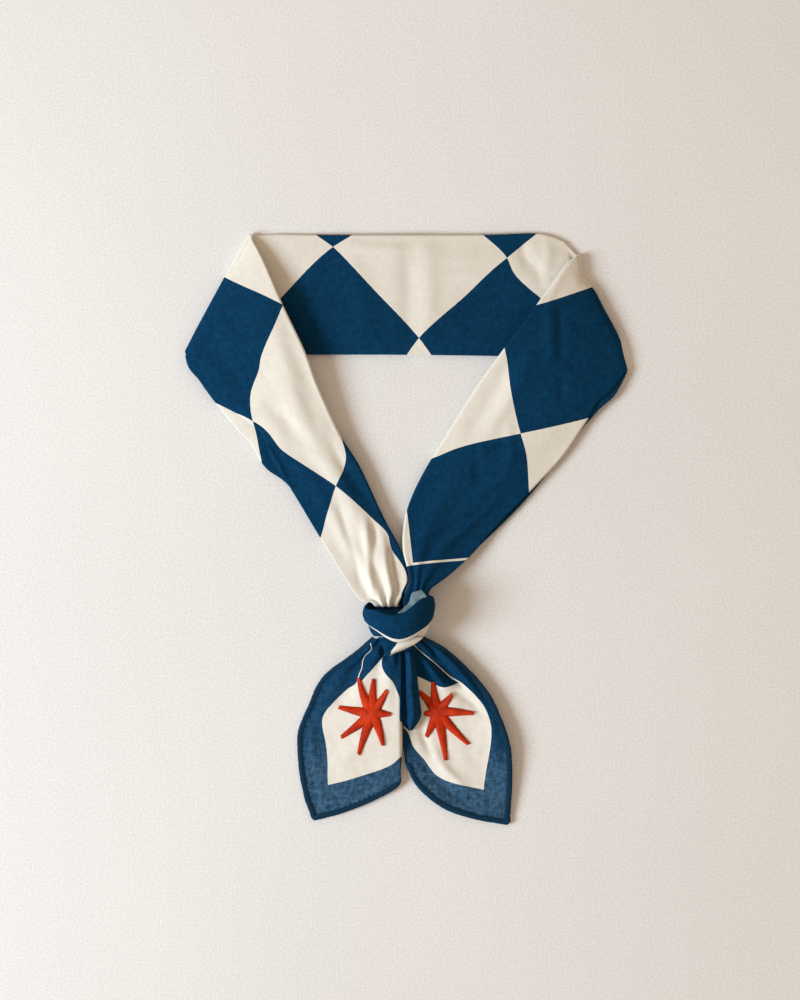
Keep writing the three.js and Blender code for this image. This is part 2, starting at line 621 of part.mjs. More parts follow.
// The highest point of a solid above a place in plan
function topAt(geometry, x, y) {
  const position = geometry.getAttribute('position');
  const index = geometry.getIndex();
  const place = new THREE.Vector3(x, y, 0);
  const triangle = new THREE.Triangle();
  const weights = new THREE.Vector3();
  let top = -Infinity;
  for (let k = 0; k < index.count; k += 3) {
    const [a, b, c] = [0, 1, 2].map(
      (step) => new THREE.Vector3().fromBufferAttribute(position, index.getX(k + step)));
    const heights = [a.z, b.z, c.z];
    triangle.set(a.setZ(0), b.setZ(0), c.setZ(0));
    if (triangle.getArea() < 1e-9 || !triangle.containsPoint(place)) continue;
    triangle.getBarycoord(place, weights);
    top = Math.max(top, weights.x * heights[0] + weights.y * heights[1] + weights.z * heights[2]);
  }
  return top;
}

// The stars: where each one's middle lies on its tail, and its arms, each with its direction from
// +X, counterclockwise, and its length as a share of STAR_REACH.
const STAR_ARMS = {
  left: { along: 0.414, out: 0.285, arms: [
    { angle: 87, length: 0.70 }, { angle: 57, length: 0.56 }, { angle: -3, length: 0.38 },
    { angle: -71, length: 0.69 }, { angle: -108, length: 0.88 }, { angle: -142, length: 0.80 },
    { angle: 170, length: 0.69 }, { angle: 111, length: 0.76 },
  ] },
  right: { along: 0.409, out: 0.317, arms: [
    { angle: 98, length: 0.62 }, { angle: 50, length: 0.47 }, { angle: -2, length: 0.74 },
    { angle: -46, length: 0.91 }, { angle: -80, length: 1.00 }, { angle: -114, length: 0.56 },
    { angle: 187, length: 0.27 }, { angle: 131, length: 0.56 },
  ] },
};
const STAR_STEPS = 3;
const STAR_NOTCH = 0.62;       // how near its middle two arms part, a share of STAR_ARM_WIDTH
const STAR_TIP = 0.5;          // how wide an arm ends
const WIDEST_NOTCH = 69;       // degrees between an arm and its notch

// One star: arms that taper from the middle to their tips, highest along their own middle lines
function starGeometry(name, cloth) {
  const { along, out, arms } = STAR_ARMS[name];
  const centre = tailPlace(name, along, out, 0);
  const sorted = [...arms].sort((one, other) => one.angle - other.angle);
  const plan = [];
  const add = (x, y, height) => plan.push({ x, y, height }) - 1;
  const middle = add(centre.x, centre.y, STAR_HEIGHT);
  const faces = [];
  const rim = [];
  const notch = sorted.map((arm, k) => {
    const next = sorted[(k + 1) % sorted.length];
    const between = (arm.angle + next.angle + (k + 1 === sorted.length ? 360 : 0)) / 2 * RADIANS;
    const apart = Math.min(Math.abs(between - arm.angle * RADIANS), WIDEST_NOTCH * RADIANS);
    const reach = STAR_ARM_WIDTH * STAR_NOTCH / Math.sin(apart);
    return add(centre.x + reach * Math.cos(between), centre.y + reach * Math.sin(between), STAR_HEIGHT / 2);
  });
  sorted.forEach((arm, k) => {
    const angle = arm.angle * RADIANS;
    const way = new THREE.Vector2(Math.cos(angle), Math.sin(angle));
    const right = notch[(k + sorted.length - 1) % sorted.length];
    const left = notch[k];
    const rootReach = (plan[right].x + plan[left].x - 2 * centre.x) / 2 * way.x
      + (plan[right].y + plan[left].y - 2 * centre.y) / 2 * way.y;
    let before = { right, ridge: middle, left };
    const rights = [right];
    const lefts = [];
    for (let step = 1; step < STAR_STEPS; step += 1) {
      const share = step / STAR_STEPS;
      const reach = lerp(rootReach, arm.length * STAR_REACH, share);
      const half = lerp(STAR_ARM_WIDTH, STAR_TIP, share) / 2;
      const at = (sideways, height) => add(
        centre.x + way.x * reach - way.y * sideways, centre.y + way.y * reach + way.x * sideways, height);
      const now = {
        right: at(-half, STAR_HEIGHT / 2), ridge: at(0, STAR_HEIGHT), left: at(half, STAR_HEIGHT / 2),
      };
      faces.push([before.ridge, before.right, now.right], [before.ridge, now.right, now.ridge]);
      faces.push([before.ridge, now.ridge, now.left], [before.ridge, now.left, before.left]);
      rights.push(now.right);
      lefts.unshift(now.left);
      before = now;
    }
    const tip = add(centre.x + way.x * arm.length * STAR_REACH, centre.y + way.y * arm.length * STAR_REACH,
      STAR_HEIGHT / 2);
    faces.push([before.ridge, before.right, tip], [before.ridge, tip, before.left]);
    rim.push(...rights, tip, ...lefts);
  });
  const count = plan.length;
  const lower = plan.map(({ x, y }) => topAt(cloth, x, y) + CLEARANCE);
  const positions = [
    ...plan.flatMap(({ x, y, height }, k) => [x, y, lower[k] + height]),
    ...plan.flatMap(({ x, y }, k) => [x, y, lower[k]]),
  ];
  const walls = rim.flatMap((a, k) => {
    const b = rim[(k + 1) % rim.length];
    return [[a, b + count, b], [a, a + count, b + count]];
  });
  const under = faces.map(([a, b, c]) => [a + count, c + count, b + count]);
  return solidGeometry(positions, [...faces, ...under, ...walls]);
}

// The pleat that laps over the right tail beside the parting line: along and out place its fold edge,
// as on the tails.
const PLEAT_ROWS = [
  { along: 0.08, out: 0.080 },
  { along: 0.18, out: 0.105 },
  { along: 0.28, out: 0.105 },
  { along: 0.35, out: 0.120 },
  { along: 0.41, out: 0.135 },
  { along: 0.46, out: 0.110 },
  { along: 0.50, out: 0.065 },
];
const PLEAT_SIDE = 0.015;      // its other edge, along the parting line, a share of TAIL_WIDTH
const PLEAT_LINES = 4;

// It follows the cloth under it, a clearance above it, and is thinner at both edges.
function pleatGeometry(cloth) {
  const sections = [];
  const flats = [];
  for (const { along, out } of PLEAT_ROWS) {
    const from = tailPlace('right', along, PLEAT_SIDE, 0);
    const to = tailPlace('right', along, out, 0);
    const path = [];
    for (let line = 0; line < PLEAT_LINES; line += 1) {
      const x = lerp(from.x, to.x, line / (PLEAT_LINES - 1));
      const thin = line === 0 || line === PLEAT_LINES - 1 ? FOLDED_EDGE : 1;
      const z = topAt(cloth, x, from.y) + CLEARANCE + PLEAT_WALL / 2;
      path.push({ at: new THREE.Vector2(x, z), across: new THREE.Vector2(0, thin) });
    }
    const flat = wallOutline(path, PLEAT_WALL);
    flats.push(flat);
    sections.push(flat.map(({ x, y }) => new THREE.Vector3(x, from.y, y)));
  }
  return loftSolid(sections, flats);
}

// The small fold that hangs out under the wrap, from the bundle's end: left and right are places
// across, shares of KNOT_WIDTH from the parting line, and high is a share of KNOT_MIDDLE.
const FLAP_ROWS = [
  { along: 0.00, left: -0.33, right: 0.26, high: 1.34 },
  { along: 0.25, left: -0.29, right: 0.22, high: 1.38 },
  { along: 0.50, left: -0.25, right: 0.11, high: 1.30 },
  { along: 0.75, left: -0.25, right: 0.00, high: 1.16 },
  { along: 1.00, left: -0.24, right: -0.16, high: 1.02 },
];
const FLAP_LINES = 6;

function knotFold() {
  const sections = [];
  const flats = [];
  const start = KNOT_DROP + 2 * CLEARANCE + CORE_END;
  for (const row of FLAP_ROWS) {
    const path = [];
    for (let line = 0; line < FLAP_LINES; line += 1) {
      const share = line / (FLAP_LINES - 1);
      const x = PARTING_X + KNOT_WIDTH * lerp(row.left, row.right, share);
      const crown = FLAP_CROWN * 4 * share * (1 - share);
      const thin = line === 0 || line === FLAP_LINES - 1 ? FOLDED_EDGE : 1;
      const at = new THREE.Vector2(x, row.high * KNOT_MIDDLE + crown);
      path.push({ at, across: new THREE.Vector2(0, thin) });
    }
    const flat = wallOutline(path, FLAP_WALL);
    flats.push(flat);
    sections.push(flat.map(({ x, y }) => new THREE.Vector3(x, -start - row.along * FLAP_LENGTH, y)));
  }
  return loftSolid(sections, flats);
}

// The whole neckerchief, with its origin under the middle of its outline
function neckerchief() {
  const tails = { left: tailGeometry('left'), right: tailGeometry('right') };
  const group = new THREE.Group();
  group.add(
    namedMesh('neck_band', neckBand(), CREAM),
    namedMesh('knot_wrap', knotWrap(), NAVY),
    namedMesh('knot_core', knotCore(), CREAM),
    namedMesh('knot_fold', knotFold(), NAVY),
    namedMesh('tail_left', tails.left, CREAM),
    namedMesh('tail_right', tails.right, CREAM),
    namedMesh('pleat_right', pleatGeometry(tails.right), NAVY),
    namedMesh('hem_left', hemGeometry('left'), NAVY),
    namedMesh('hem_right', hemGeometry('right'), NAVY),
    namedMesh('star_left', starGeometry('left', tails.left), RED, 0.6),
    namedMesh('star_right', starGeometry('right', tails.right), RED, 0.6),
  );
  const box = new THREE.Box3().setFromObject(group);
  const middle = box.getCenter(new THREE.Vector3());
  group.position.set(-middle.x, -middle.y, -box.min.z);
  return group;
}

export default neckerchief();
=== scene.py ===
# %% [markdown]
# A checked cotton neckerchief, laid in a loop and tied in one small knot. On the real thing it is one
# square of cloth, folded to a band. The CAD frame gives the place and thickness of each part. Here
# each part becomes a thin cloth of its own, with its print, its folds and its embroidery.

import bpy
import numpy as np
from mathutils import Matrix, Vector, noise
from mathutils.bvhtree import BVHTree


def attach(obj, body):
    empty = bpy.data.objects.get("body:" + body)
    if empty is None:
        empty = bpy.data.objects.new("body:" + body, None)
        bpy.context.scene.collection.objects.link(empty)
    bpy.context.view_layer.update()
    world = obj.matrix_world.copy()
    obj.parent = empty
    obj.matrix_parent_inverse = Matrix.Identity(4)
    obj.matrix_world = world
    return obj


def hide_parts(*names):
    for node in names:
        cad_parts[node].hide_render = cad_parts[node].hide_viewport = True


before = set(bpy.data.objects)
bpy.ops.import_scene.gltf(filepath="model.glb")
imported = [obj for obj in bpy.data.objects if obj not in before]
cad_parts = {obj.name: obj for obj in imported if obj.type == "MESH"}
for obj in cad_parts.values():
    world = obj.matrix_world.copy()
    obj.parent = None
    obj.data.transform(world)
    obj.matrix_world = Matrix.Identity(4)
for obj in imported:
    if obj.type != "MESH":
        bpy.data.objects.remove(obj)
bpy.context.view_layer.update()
print("CAD nodes", sorted(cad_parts))

# %% [markdown]
# The photograph was taken from straight above, so its pixels lie on the table like squared paper.
# One scale and one middle point turn a pixel into metres. A place that lies higher than the table
# looks a little further from the middle of the picture, and in_pixels allows for that.

# %% From pixels to the table
PIXEL = 0.0005124
ORIGIN_PIXEL = np.array([405.5, 529.5])
PICTURE = (800, 1000)
CAMERA_HEIGHT = 1.3


def on_table(pixel):
    """Where a pixel of the photograph lies on the table."""
    return np.array([pixel[0] - ORIGIN_PIXEL[0], ORIGIN_PIXEL[1] - pixel[1]]) * PIXEL


CAMERA_PLACE = on_table((PICTURE[0] / 2, PICTURE[1] / 2))


def in_pixels(points):
    """Where points of the model show in the photograph."""
    points = np.asarray(points, float)
    nearer = CAMERA_HEIGHT / (CAMERA_HEIGHT - points[..., 2:3])
    plan = CAMERA_PLACE + (points[..., :2] - CAMERA_PLACE) * nearer
    return plan / PIXEL * [1, -1] + ORIGIN_PIXEL


print("camera over", CAMERA_PLACE)

# %% [markdown]
# The camera looks straight down. Its lens is chosen so that the picture is as wide on the table as
# the photograph is.

# %% The camera
SENSOR_WIDTH = 36
camera_data = bpy.data.cameras.new("camera")
camera_data.sensor_fit = "HORIZONTAL"
camera_data.sensor_width = SENSOR_WIDTH
camera_data.lens = SENSOR_WIDTH * CAMERA_HEIGHT / (PICTURE[0] * PIXEL)
camera = bpy.data.objects.new("camera", camera_data)
camera.location = (*CAMERA_PLACE, CAMERA_HEIGHT)
bpy.context.scene.collection.objects.link(camera)
bpy.context.scene.camera = camera
print("lens", round(camera_data.lens, 1))

# %% [markdown]
# The light in the photograph is one large soft window at the left, low enough to throw soft shadows
# to the right. It is a little cool, and the shadows are warm, as in a room with pale wooden walls.
# A broad lamp near the table also makes the right side of the picture darker, as the window does.

# %% The light
WINDOW_PLACE, WINDOW_AIM = (-1.45, -0.36, 0.92), (0, 0.7, 0)
WINDOW_SIZE, WINDOW_POWER, WINDOW_COLOUR = 0.80, 37, (0.80, 0.92, 1.0)
ROOM_COLOUR, ROOM_STRENGTH = (1.0, 0.76, 0.56, 1), 0.54


def soft_lamp(name, place, aim, size, power, colour):
    data = bpy.data.lights.new(name, "AREA")
    data.shape = "DISK"
    data.size = size
    data.energy = power
    data.color = colour
    lamp = bpy.data.objects.new(name, data)
    lamp.location = place
    lamp.rotation_euler = (Vector(aim) - Vector(place)).to_track_quat("-Z", "Y").to_euler()
    bpy.context.scene.collection.objects.link(lamp)
    return lamp


window = soft_lamp("window", WINDOW_PLACE, WINDOW_AIM, WINDOW_SIZE, WINDOW_POWER, WINDOW_COLOUR)
world = bpy.data.worlds.new("room")
bpy.context.scene.world = world
world.use_nodes = True
room = world.node_tree.nodes["Background"]
room.inputs["Color"].default_value = ROOM_COLOUR
room.inputs["Strength"].default_value = ROOM_STRENGTH
bpy.context.scene.view_settings.view_transform = "Standard"
print("lamp at", tuple(window.location))

# %% [markdown]
# Materials are made of nodes. A few small helpers keep them readable: one adds a node and fills or
# links its sockets, and others do a sum, mix two colours or make speckles. The last one sets a
# shader's colour, small relief, roughness and shine, because every material here ends with these.

# %% Helpers for nodes
def add_node(tree, kind, sockets=(), **fields):
    node = tree.nodes.new(kind)
    for field, value in fields.items():
        setattr(node, field, value)
    for socket, value in dict(sockets).items():
        if isinstance(value, bpy.types.NodeSocket):
            tree.links.new(value, node.inputs[socket])
        else:
            node.inputs[socket].default_value = value
    return node


def calc(tree, operation, first, second=0.0, third=0.0):
    node = add_node(tree, "ShaderNodeMath", {0: first, 1: second, 2: third}, operation=operation)
    return node.outputs[0]


def mix_colour(tree, share, first, second):
    sockets = {0: share, 6: first, 7: second}
    return add_node(tree, "ShaderNodeMix", sockets, data_type="RGBA").outputs[2]


def speckle(tree, place, scale, detail):
    """Noise from 0 to 1. A larger scale makes finer spots."""
    sockets = {"Vector": place, "Scale": scale, "Detail": detail}
    return add_node(tree, "ShaderNodeTexNoise", sockets).outputs["Fac"]


def clamp(tree, value):
    return add_node(tree, "ShaderNodeClamp", {0: value}).outputs[0]


def place_on_piece(tree):
    return add_node(tree, "ShaderNodeTexCoord").outputs["Object"]


def new_material(name):
    material = bpy.data.materials.new(name)
    material.use_nodes = True
    tree = material.node_tree
    return material, tree, tree.nodes["Principled BSDF"]


def set_surface(tree, shader, colour, height, depth, strength, roughness, shine):
    """height goes from 0 to 1 and stands for a small relief that is depth metres deep."""
    bump = add_node(tree, "ShaderNodeBump", {"Height": height, "Distance": depth, "Strength": strength})
    tree.links.new(colour, shader.inputs["Base Color"])
    tree.links.new(bump.outputs[0], shader.inputs["Normal"])
    shader.inputs["Roughness"].default_value = roughness
    shader.inputs["Specular IOR Level"].default_value = shine


print("helpers ready: add_node, calc, mix_colour, speckle, clamp, place_on_piece, set_surface")

# %% [markdown]
# Fine cotton shows its threads only close by, and from further off a slight mottle. Two stretched
# noises at right angles stand for the slubs of warp and weft. They raise the surface a few hundredths
# of a millimetre and vary the colour a little.

# %% The weave of the cotton
SLUB_LENGTH = 0.0045
THREAD_PITCH = 0.0005


def weave(tree, place):
    """Two sets of threads, as a height from 0 to 1."""
    sets = []
    for along in (0, 1):
        stretch = [1 / THREAD_PITCH, 1 / THREAD_PITCH, 1 / SLUB_LENGTH]
        stretch[along] = 1 / SLUB_LENGTH
        laid = add_node(tree, "ShaderNodeVectorMath", {0: place, 1: stretch}, operation="MULTIPLY")
        sets.append(speckle(tree, laid.outputs[0], 1.0, 2.0))
    return calc(tree, "MULTIPLY", calc(tree, "ADD", *sets), 0.5)


print("slubs", SLUB_LENGTH, "long, threads", THREAD_PITCH, "apart")

# %% [markdown]
# The print is one set of squares on the whole cloth: cream and navy checks, a thin cream line round
# them, and a navy border. Every piece of cloth carries the attribute "fabric", which says where on
# the square each of its points was before folding, counted in checks. The nodes only read it, so the
# print follows every fold, as real dye does. A picture of the print would not stay sharp.

# %% The print
FIELD_LOW, FIELD_HIGH = -5.0, 4.0
LINE_WIDTH, PRINT_WANDER = 0.02, 0.004
CREAM = (0.76, 0.735, 0.67, 1)
NAVY = (0.0022, 0.037, 0.094, 1)


def printed_colour(tree, u, v, cream, navy):
    """Cream or navy at a place on the square, and a share that is 1 where it is navy."""
    count = calc(tree, "ADD", calc(tree, "FLOOR", u), calc(tree, "FLOOR", v))
    odd = calc(tree, "GREATER_THAN", calc(tree, "PINGPONG", count, 1.0), 0.5)
    beyond = calc(tree, "SUBTRACT", u, FIELD_HIGH)
    for outer, inner in ((FIELD_LOW, u), (v, FIELD_HIGH), (FIELD_LOW, v)):
        beyond = calc(tree, "MAXIMUM", beyond, calc(tree, "SUBTRACT", outer, inner))
    outside = calc(tree, "GREATER_THAN", beyond, 0.0)
    border = calc(tree, "GREATER_THAN", beyond, LINE_WIDTH)
    checks = calc(tree, "MULTIPLY", odd, calc(tree, "SUBTRACT", 1.0, outside))
    dark = calc(tree, "MAXIMUM", checks, border)
    return mix_colour(tree, dark, cream, navy), dark


def cotton(name, cream, navy, navy_lit_through, wear=0.35):
    """Printed cotton, with a paler navy painted where light would shine through one layer."""
    material, tree, shader = new_material(name)
    fabric = add_node(tree, "ShaderNodeAttribute", attribute_name="fabric").outputs["Vector"]
    parts = add_node(tree, "ShaderNodeSeparateXYZ", {0: fabric}).outputs
    uneven = calc(tree, "SUBTRACT", speckle(tree, fabric, 26.0, 3.0), 0.5)
    shift = calc(tree, "MULTIPLY", uneven, PRINT_WANDER)
    u = calc(tree, "ADD", parts[0], shift)
    v = calc(tree, "SUBTRACT", parts[1], shift)
    place = place_on_piece(tree)
    both = calc(tree, "ADD", weave(tree, place), speckle(tree, place, 420.0, 4.0))
    mottle = calc(tree, "MULTIPLY", both, 0.5)
    # painted light through a single layer, mottled, as a share from 0 to 1
    lit_through = calc(tree, "MULTIPLY", parts[2], calc(tree, "MULTIPLY_ADD", mottle, 2.2, -0.6))
    navy_and_lit_through = mix_colour(tree, clamp(tree, lit_through), navy, navy_lit_through)
    colour, dark = printed_colour(tree, u, v, cream, navy_and_lit_through)
    contrast = calc(tree, "MULTIPLY_ADD", dark, 1.6, wear)
    lighter = calc(tree, "MULTIPLY_ADD", calc(tree, "SUBTRACT", mottle, 0.5), contrast, 1.0)
    shaded = add_node(tree, "ShaderNodeVectorMath", {0: colour, 3: lighter}, operation="SCALE")
    set_surface(tree, shader, shaded.outputs[0], mottle, depth=0.00012, strength=0.55,
                roughness=0.92, shine=0.06)
    return material


# a paler navy, painted where light from the table shines through a single layer
NAVY_LIT_THROUGH = (0.062, 0.138, 0.232, 1)
REVERSE_CREAM = (0.72, 0.68, 0.60, 1)
REVERSE_NAVY = (0.17, 0.26, 0.31, 1)
printed_side = cotton("printed_side", CREAM, NAVY, NAVY_LIT_THROUGH)
reverse_side = cotton("reverse_side", REVERSE_CREAM, REVERSE_NAVY, REVERSE_NAVY, wear=0.8)
print("cotton made", printed_side.name, reverse_side.name)

# %% [markdown]
# A piece of cloth is a grid of points in rows. cloth_piece makes the mesh, keeps the place on the
# square of every point, and gives the sheet its thickness, with the paler reverse side behind it.
# One helper serves the band, the knot and the tails, because they are all the same cloth.

# %% From a grid of points to a piece of cloth
CLOTH = 0.0005


def grid_faces(rows, columns, round_rows=False):
    """Four-sided faces between the points of a grid. round_rows joins the last row to the first."""
    row = np.arange(rows if round_rows else rows - 1)[:, None]
    column = np.arange(columns - 1)[None, :]
    following = (row + 1) % rows
    corners = [row * columns + column, row * columns + column + 1,
               following * columns + column + 1, following * columns + column]
    return np.stack([c + 0 * row for c in corners], -1).reshape(-1, 4)


def mesh_piece(name, points, faces, materials):
    points = [tuple(map(float, point)) for point in points]
    faces = [tuple(map(int, face)) for face in faces]
    mesh = bpy.data.meshes.new(name)
    mesh.from_pydata(points, [], faces)
    mesh.update()
    mesh.polygons.foreach_set("use_smooth", [True] * len(mesh.polygons))
    for material in materials:
        mesh.materials.append(material)
    piece = bpy.data.objects.new(name, mesh)
    bpy.context.scene.collection.objects.link(piece)
    return piece


def keep_fabric(piece, fabric):
    """Store on every point of a piece its place on the square, which the print reads."""
    kept = piece.data.attributes.new("fabric", "FLOAT_VECTOR", "POINT")
    kept.data.foreach_set("vector", fabric.reshape(-1, 3).astype(np.float32).ravel())


def cloth_piece(name, grid, fabric, outside_up=None, round_rows=False, thickness=CLOTH):
    """outside_up is a row and a column of the grid where the printed side faces up."""
    rows, columns = grid.shape[:2]
    faces = grid_faces(rows, columns, round_rows)
    points = grid.reshape(-1, 3)
    if outside_up is not None:
        a, b, c, _ = points[faces[outside_up[0] * (columns - 1) + outside_up[1]]]
        if np.cross(b - a, c - a)[2] < 0:
            faces = faces[:, ::-1]
    piece = mesh_piece(name, points, faces, [printed_side, reverse_side])
    keep_fabric(piece, fabric)
    solid = piece.modifiers.new("thickness", "SOLIDIFY")
    solid.thickness = thickness
    solid.offset = 0
    solid.material_offset = 1
    return piece


def finish_piece(piece, slot, *nodes):
    """The scarf is one body. nodes are the CAD solids that this piece is shown instead of."""
    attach(piece, "root")
    if nodes:
        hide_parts(*nodes)


print("cloth is", CLOTH, "thick")

# %% [markdown]
# The print has to run over the folds as it does in the photograph. For each visible face, a list of
# places pairs a point of the print with a pixel. A thin-plate spline is the smoothest bending
# between such pairs, so it stands for cloth that was pulled slightly out of square.

# %% Bending the print to the folds
PIXELS_IN_UNIT, PLATE_EASE = 100, 1e-4


def plate_terms(distance):
    return np.where(distance > 0, distance ** 2 * np.log(np.maximum(distance, 1e-9)), 0.0)


def bend_print(pairs):
    """A function from pixels to the print, through pairs of (u, v, pixel x, pixel y)."""
    pairs = np.array(pairs, float)
    known = pairs[:, 2:] / PIXELS_IN_UNIT
    count = len(known)
    apart = np.linalg.norm(known[:, None] - known[None], axis=-1)
    flat = np.column_stack([np.ones(count), known])
    system = np.zeros((count + 3, count + 3))
    system[:count, :count] = plate_terms(apart) + np.eye(count) * PLATE_EASE
    system[:count, count:] = flat
    system[count:, :count] = flat.T
    weights = np.linalg.solve(system, np.vstack([pairs[:, :2], np.zeros((3, 2))]))

    def at(pixels):
        scaled = np.asarray(pixels, float).reshape(-1, 2) / PIXELS_IN_UNIT
        far = np.linalg.norm(scaled[:, None] - known[None], axis=-1)
        value = plate_terms(far) @ weights[:count] + weights[count] + scaled @ weights[count + 1:]
        return value.reshape(*np.shape(pixels)[:-1], 2)

    return at


BACK_PRINT = bend_print([
    (0, 0, 419, 338), (1, 0, 507, 258), (0, 1, 333, 247), (0.5, 0, 463, 298), (0, 0.5, 376, 292),
    (0.27, 1, 357, 232), (0, 1.16, 316, 235), (1, 0.26, 483, 235), (1.36, 0, 540, 231),
    (-0.18, 0, 405, 357), (0, -0.18, 433, 357), (-0.57, 1, 283, 296), (1, -0.13, 513, 272),
    (1, -0.30, 527, 287), (1, -0.42, 538, 296),
])
LEFT_ARM_PRINT = bend_print([
    (-1, 2, 283, 305), (-1, 2.22, 273, 329), (-1, 2.48, 261, 358), (-1, 2.58, 259, 370),
    (-1, 2.77, 251, 392), (-1, 2.89, 250.4, 406), (-1, 3, 253, 421), (-1, 3.16, 257, 437),
    (-1, 3.4, 262, 463), (-1.15, 3, 266, 430), (-1.37, 3, 280, 448), (-1.57, 3, 298, 461),
    (-1.8, 3, 318, 474), (-2, 3, 336, 486), (-0.4, 2, 226, 278), (-0.84, 3, 236, 413),
    (-0.57, 3, 209, 399), (-2, 3.28, 326, 518), (-2, 3.47, 320, 539), (-2, 2.83, 344, 468),
    (-2, 2.73, 346, 456), (-2, 2.57, 342, 438), (-2.45, 3, 374, 520), (-2.63, 3, 388, 535),
    (-2.75, 3, 391, 548), (-2.83, 3, 399, 560), (-2.9, 3, 407, 581), (-2.93, 3, 401, 597),
    (-2.85, 3.3, 384, 590), (-2.9, 3.5, 366, 603), (-2.94, 3.2, 392, 606),
])
RIGHT_ARM_PRINT = bend_print([
    (2, 0, 596, 286), (2, -0.51, 535, 305.5), (2.3, -1, 504, 347), (2.65, -1, 511, 392),
    (3, -1, 520.5, 433.5), (3, -0.44, 588, 418), (3, -1.54, 455, 449), (3, -1.76, 430.5, 459),
    (3.17, -1, 526, 453), (3.5, -1, 529, 492), (2.64, 0, 624, 358),
    (2.17, 0, 606, 303), (2.3, 0, 613, 318), (2.43, 0, 618.5, 333), (2.56, 0, 621.5, 347),
    (4, -1.58, 466, 558), (4, -1.8, 440, 560), (4, -2, 413, 563), (4.26, -1.9, 431, 592),
])
print("print of the back at its middle", BACK_PRINT([(419, 300)]))

# %% [markdown]
# The band repeats the sizes of the CAD part. Each row says where the loop's inner edge is, how far
# the band reaches from it and in which direction, and how high both edges lie. Real folded cloth
# lies on itself, so at both upper corners it turns over and the arms lie on the back stretch. There
# the walls are pressed together, so the corners are flatter than in the CAD part, whose walls are
# thicker.

# %% The sizes of the band
LOOP_PLACE = np.array([0.00032, 0.15275, 0.0])
HALF_SPAN, KNOT_DROP, BAND_WIDTH = 0.113, 0.190, 0.063
LAYER_STEP, FOLD_RADIUS, GATHER_DEPTH = 0.0016, 0.0034, 0.0016
BAND_THICKNESS, KNOT_MIDDLE = 0.0042, 0.0125
LAYER = BAND_THICKNESS / 2 - CLOTH / 2
UP = np.array([0.0, 0.0, 1.0])
# inner edge aside and down, reach, slant in degrees, inner and outer height, climb, gather, peek
LEFT_ROWS = [
    (0.710, 0.003, 1.10, 28.6, 0.31, 0.31, 0.00, 0.00, 0.00),
    (0.646, 0.072, 1.10, 33.0, 0.95, 0.38, 0.00, 0.00, 0.00),
    (0.551, 0.200, 0.97, 39.0, 1.40, 0.28, 0.00, 0.05, 0.02),
    (0.454, 0.324, 0.86, 41.0, 1.25, 0.08, 0.00, 0.10, 0.12),
    (0.397, 0.415, 0.74, 48.0, 0.95, 0.03, 0.00, 0.15, 0.13),
    (0.293, 0.550, 0.68, 66.0, 0.55, 0.00, 0.00, 0.12, 0.09),
    (0.206, 0.634, 0.61, 73.0, 0.35, 0.00, 0.02, 0.15, 0.01),
    (0.098, 0.771, 0.55, 72.0, 0.20, 0.00, 0.12, 0.15, 0.00),
    (0.016, 0.863, 0.53, 71.0, 0.10, 0.00, 0.42, 0.35, 0.00),
    (-0.011, 0.940, 0.422, 67.0, 0.00, 0.00, 0.82, 0.62, 0.00),
    (0.030, 1.000, 0.225, 90.0, 0.00, 0.00, 1.00, 0.90, 0.00),
    (0.028, 1.009, 0.205, 90.0, 0.00, 0.00, 0.78, 1.00, 0.00),
]
RIGHT_ROWS = [
    (0.787, 0.057, 1.05, 21.4, 0.31, 0.31, 0.00, 0.00, 0.03),
    (0.714, 0.092, 1.14, 22.0, 0.80, 0.36, 0.00, 0.00, 0.06),
    (0.583, 0.200, 1.01, 31.5, 1.15, 0.28, 0.00, 0.05, 0.06),
    (0.447, 0.310, 0.93, 45.0, 1.10, 0.06, 0.00, 0.05, 0.02),
    (0.315, 0.418, 0.91, 51.0, 0.55, 0.02, 0.00, 0.10, 0.00),
    (0.184, 0.542, 0.86, 52.5, 0.20, 0.00, 0.00, 0.15, 0.03),
    (0.061, 0.666, 0.77, 58.0, 0.05, 0.00, 0.02, 0.25, 0.03),
    (-0.005, 0.763, 0.635, 59.0, 0.00, 0.00, 0.20, 0.20, 0.00),
    (-0.018, 0.852, 0.446, 60.0, 0.00, 0.00, 0.52, 0.25, 0.00),
    (0.012, 0.935, 0.198, 62.0, 0.00, 0.00, 0.86, 0.30, 0.00),
    (-0.016, 0.990, 0.217, 90.0, 0.00, 0.00, 1.00, 0.25, 0.00),
    (-0.014, 1.030, 0.195, 90.0, 0.00, 0.00, 0.95, 0.25, 0.00),
]
# upper, lower, drop of the upper edge, sag of the lower edge
BACK_ROWS = [(-0.58, -0.72, 0.012, 0.02), (-0.32, -0.34, 0.022, 0.02), (0, 0, 0.025, 0.02),
             (0.36, 0.38, 0.022, 0.03), (0.60, 0.72, 0.010, 0.045), (0.711, 0.84, 0.07, 0.10)]
GATHERS = np.array([0, 0.9, -0.8, 1, -1, 0.8, 0])


def between_rows(rows, place):
    """The values between two rows of a table, on a smooth curve through all of them."""
    rows = np.asarray(rows, float)
    first = min(int(place), len(rows) - 2)
    share = place - first
    before, start, end, after = (rows[min(max(first + k, 0), len(rows) - 1)] for k in (-1, 0, 1, 2))
    leave, arrive = (end - before) / 2, (after - start) / 2
    return ((2 * share ** 3 - 3 * share ** 2 + 1) * start + (share ** 3 - 2 * share ** 2 + share) * leave
            + (3 * share ** 2 - 2 * share ** 3) * end + (share ** 3 - share ** 2) * arrive)


def along_rows(rows, steps):
    """Even places along a table, from its first row to its last."""
    return np.linspace(0, len(rows) - 1, steps)


print("band", BAND_WIDTH, "wide,", BAND_THICKNESS, "thick")

# %% [markdown]
# Across the band the cloth makes three walls. It starts at its free edge, runs over the face, turns
# round the closed edge, comes back as the other face, and turns once more to end in the middle.
# Each section below is that one line of cloth, in a list of points with the same count everywhere.

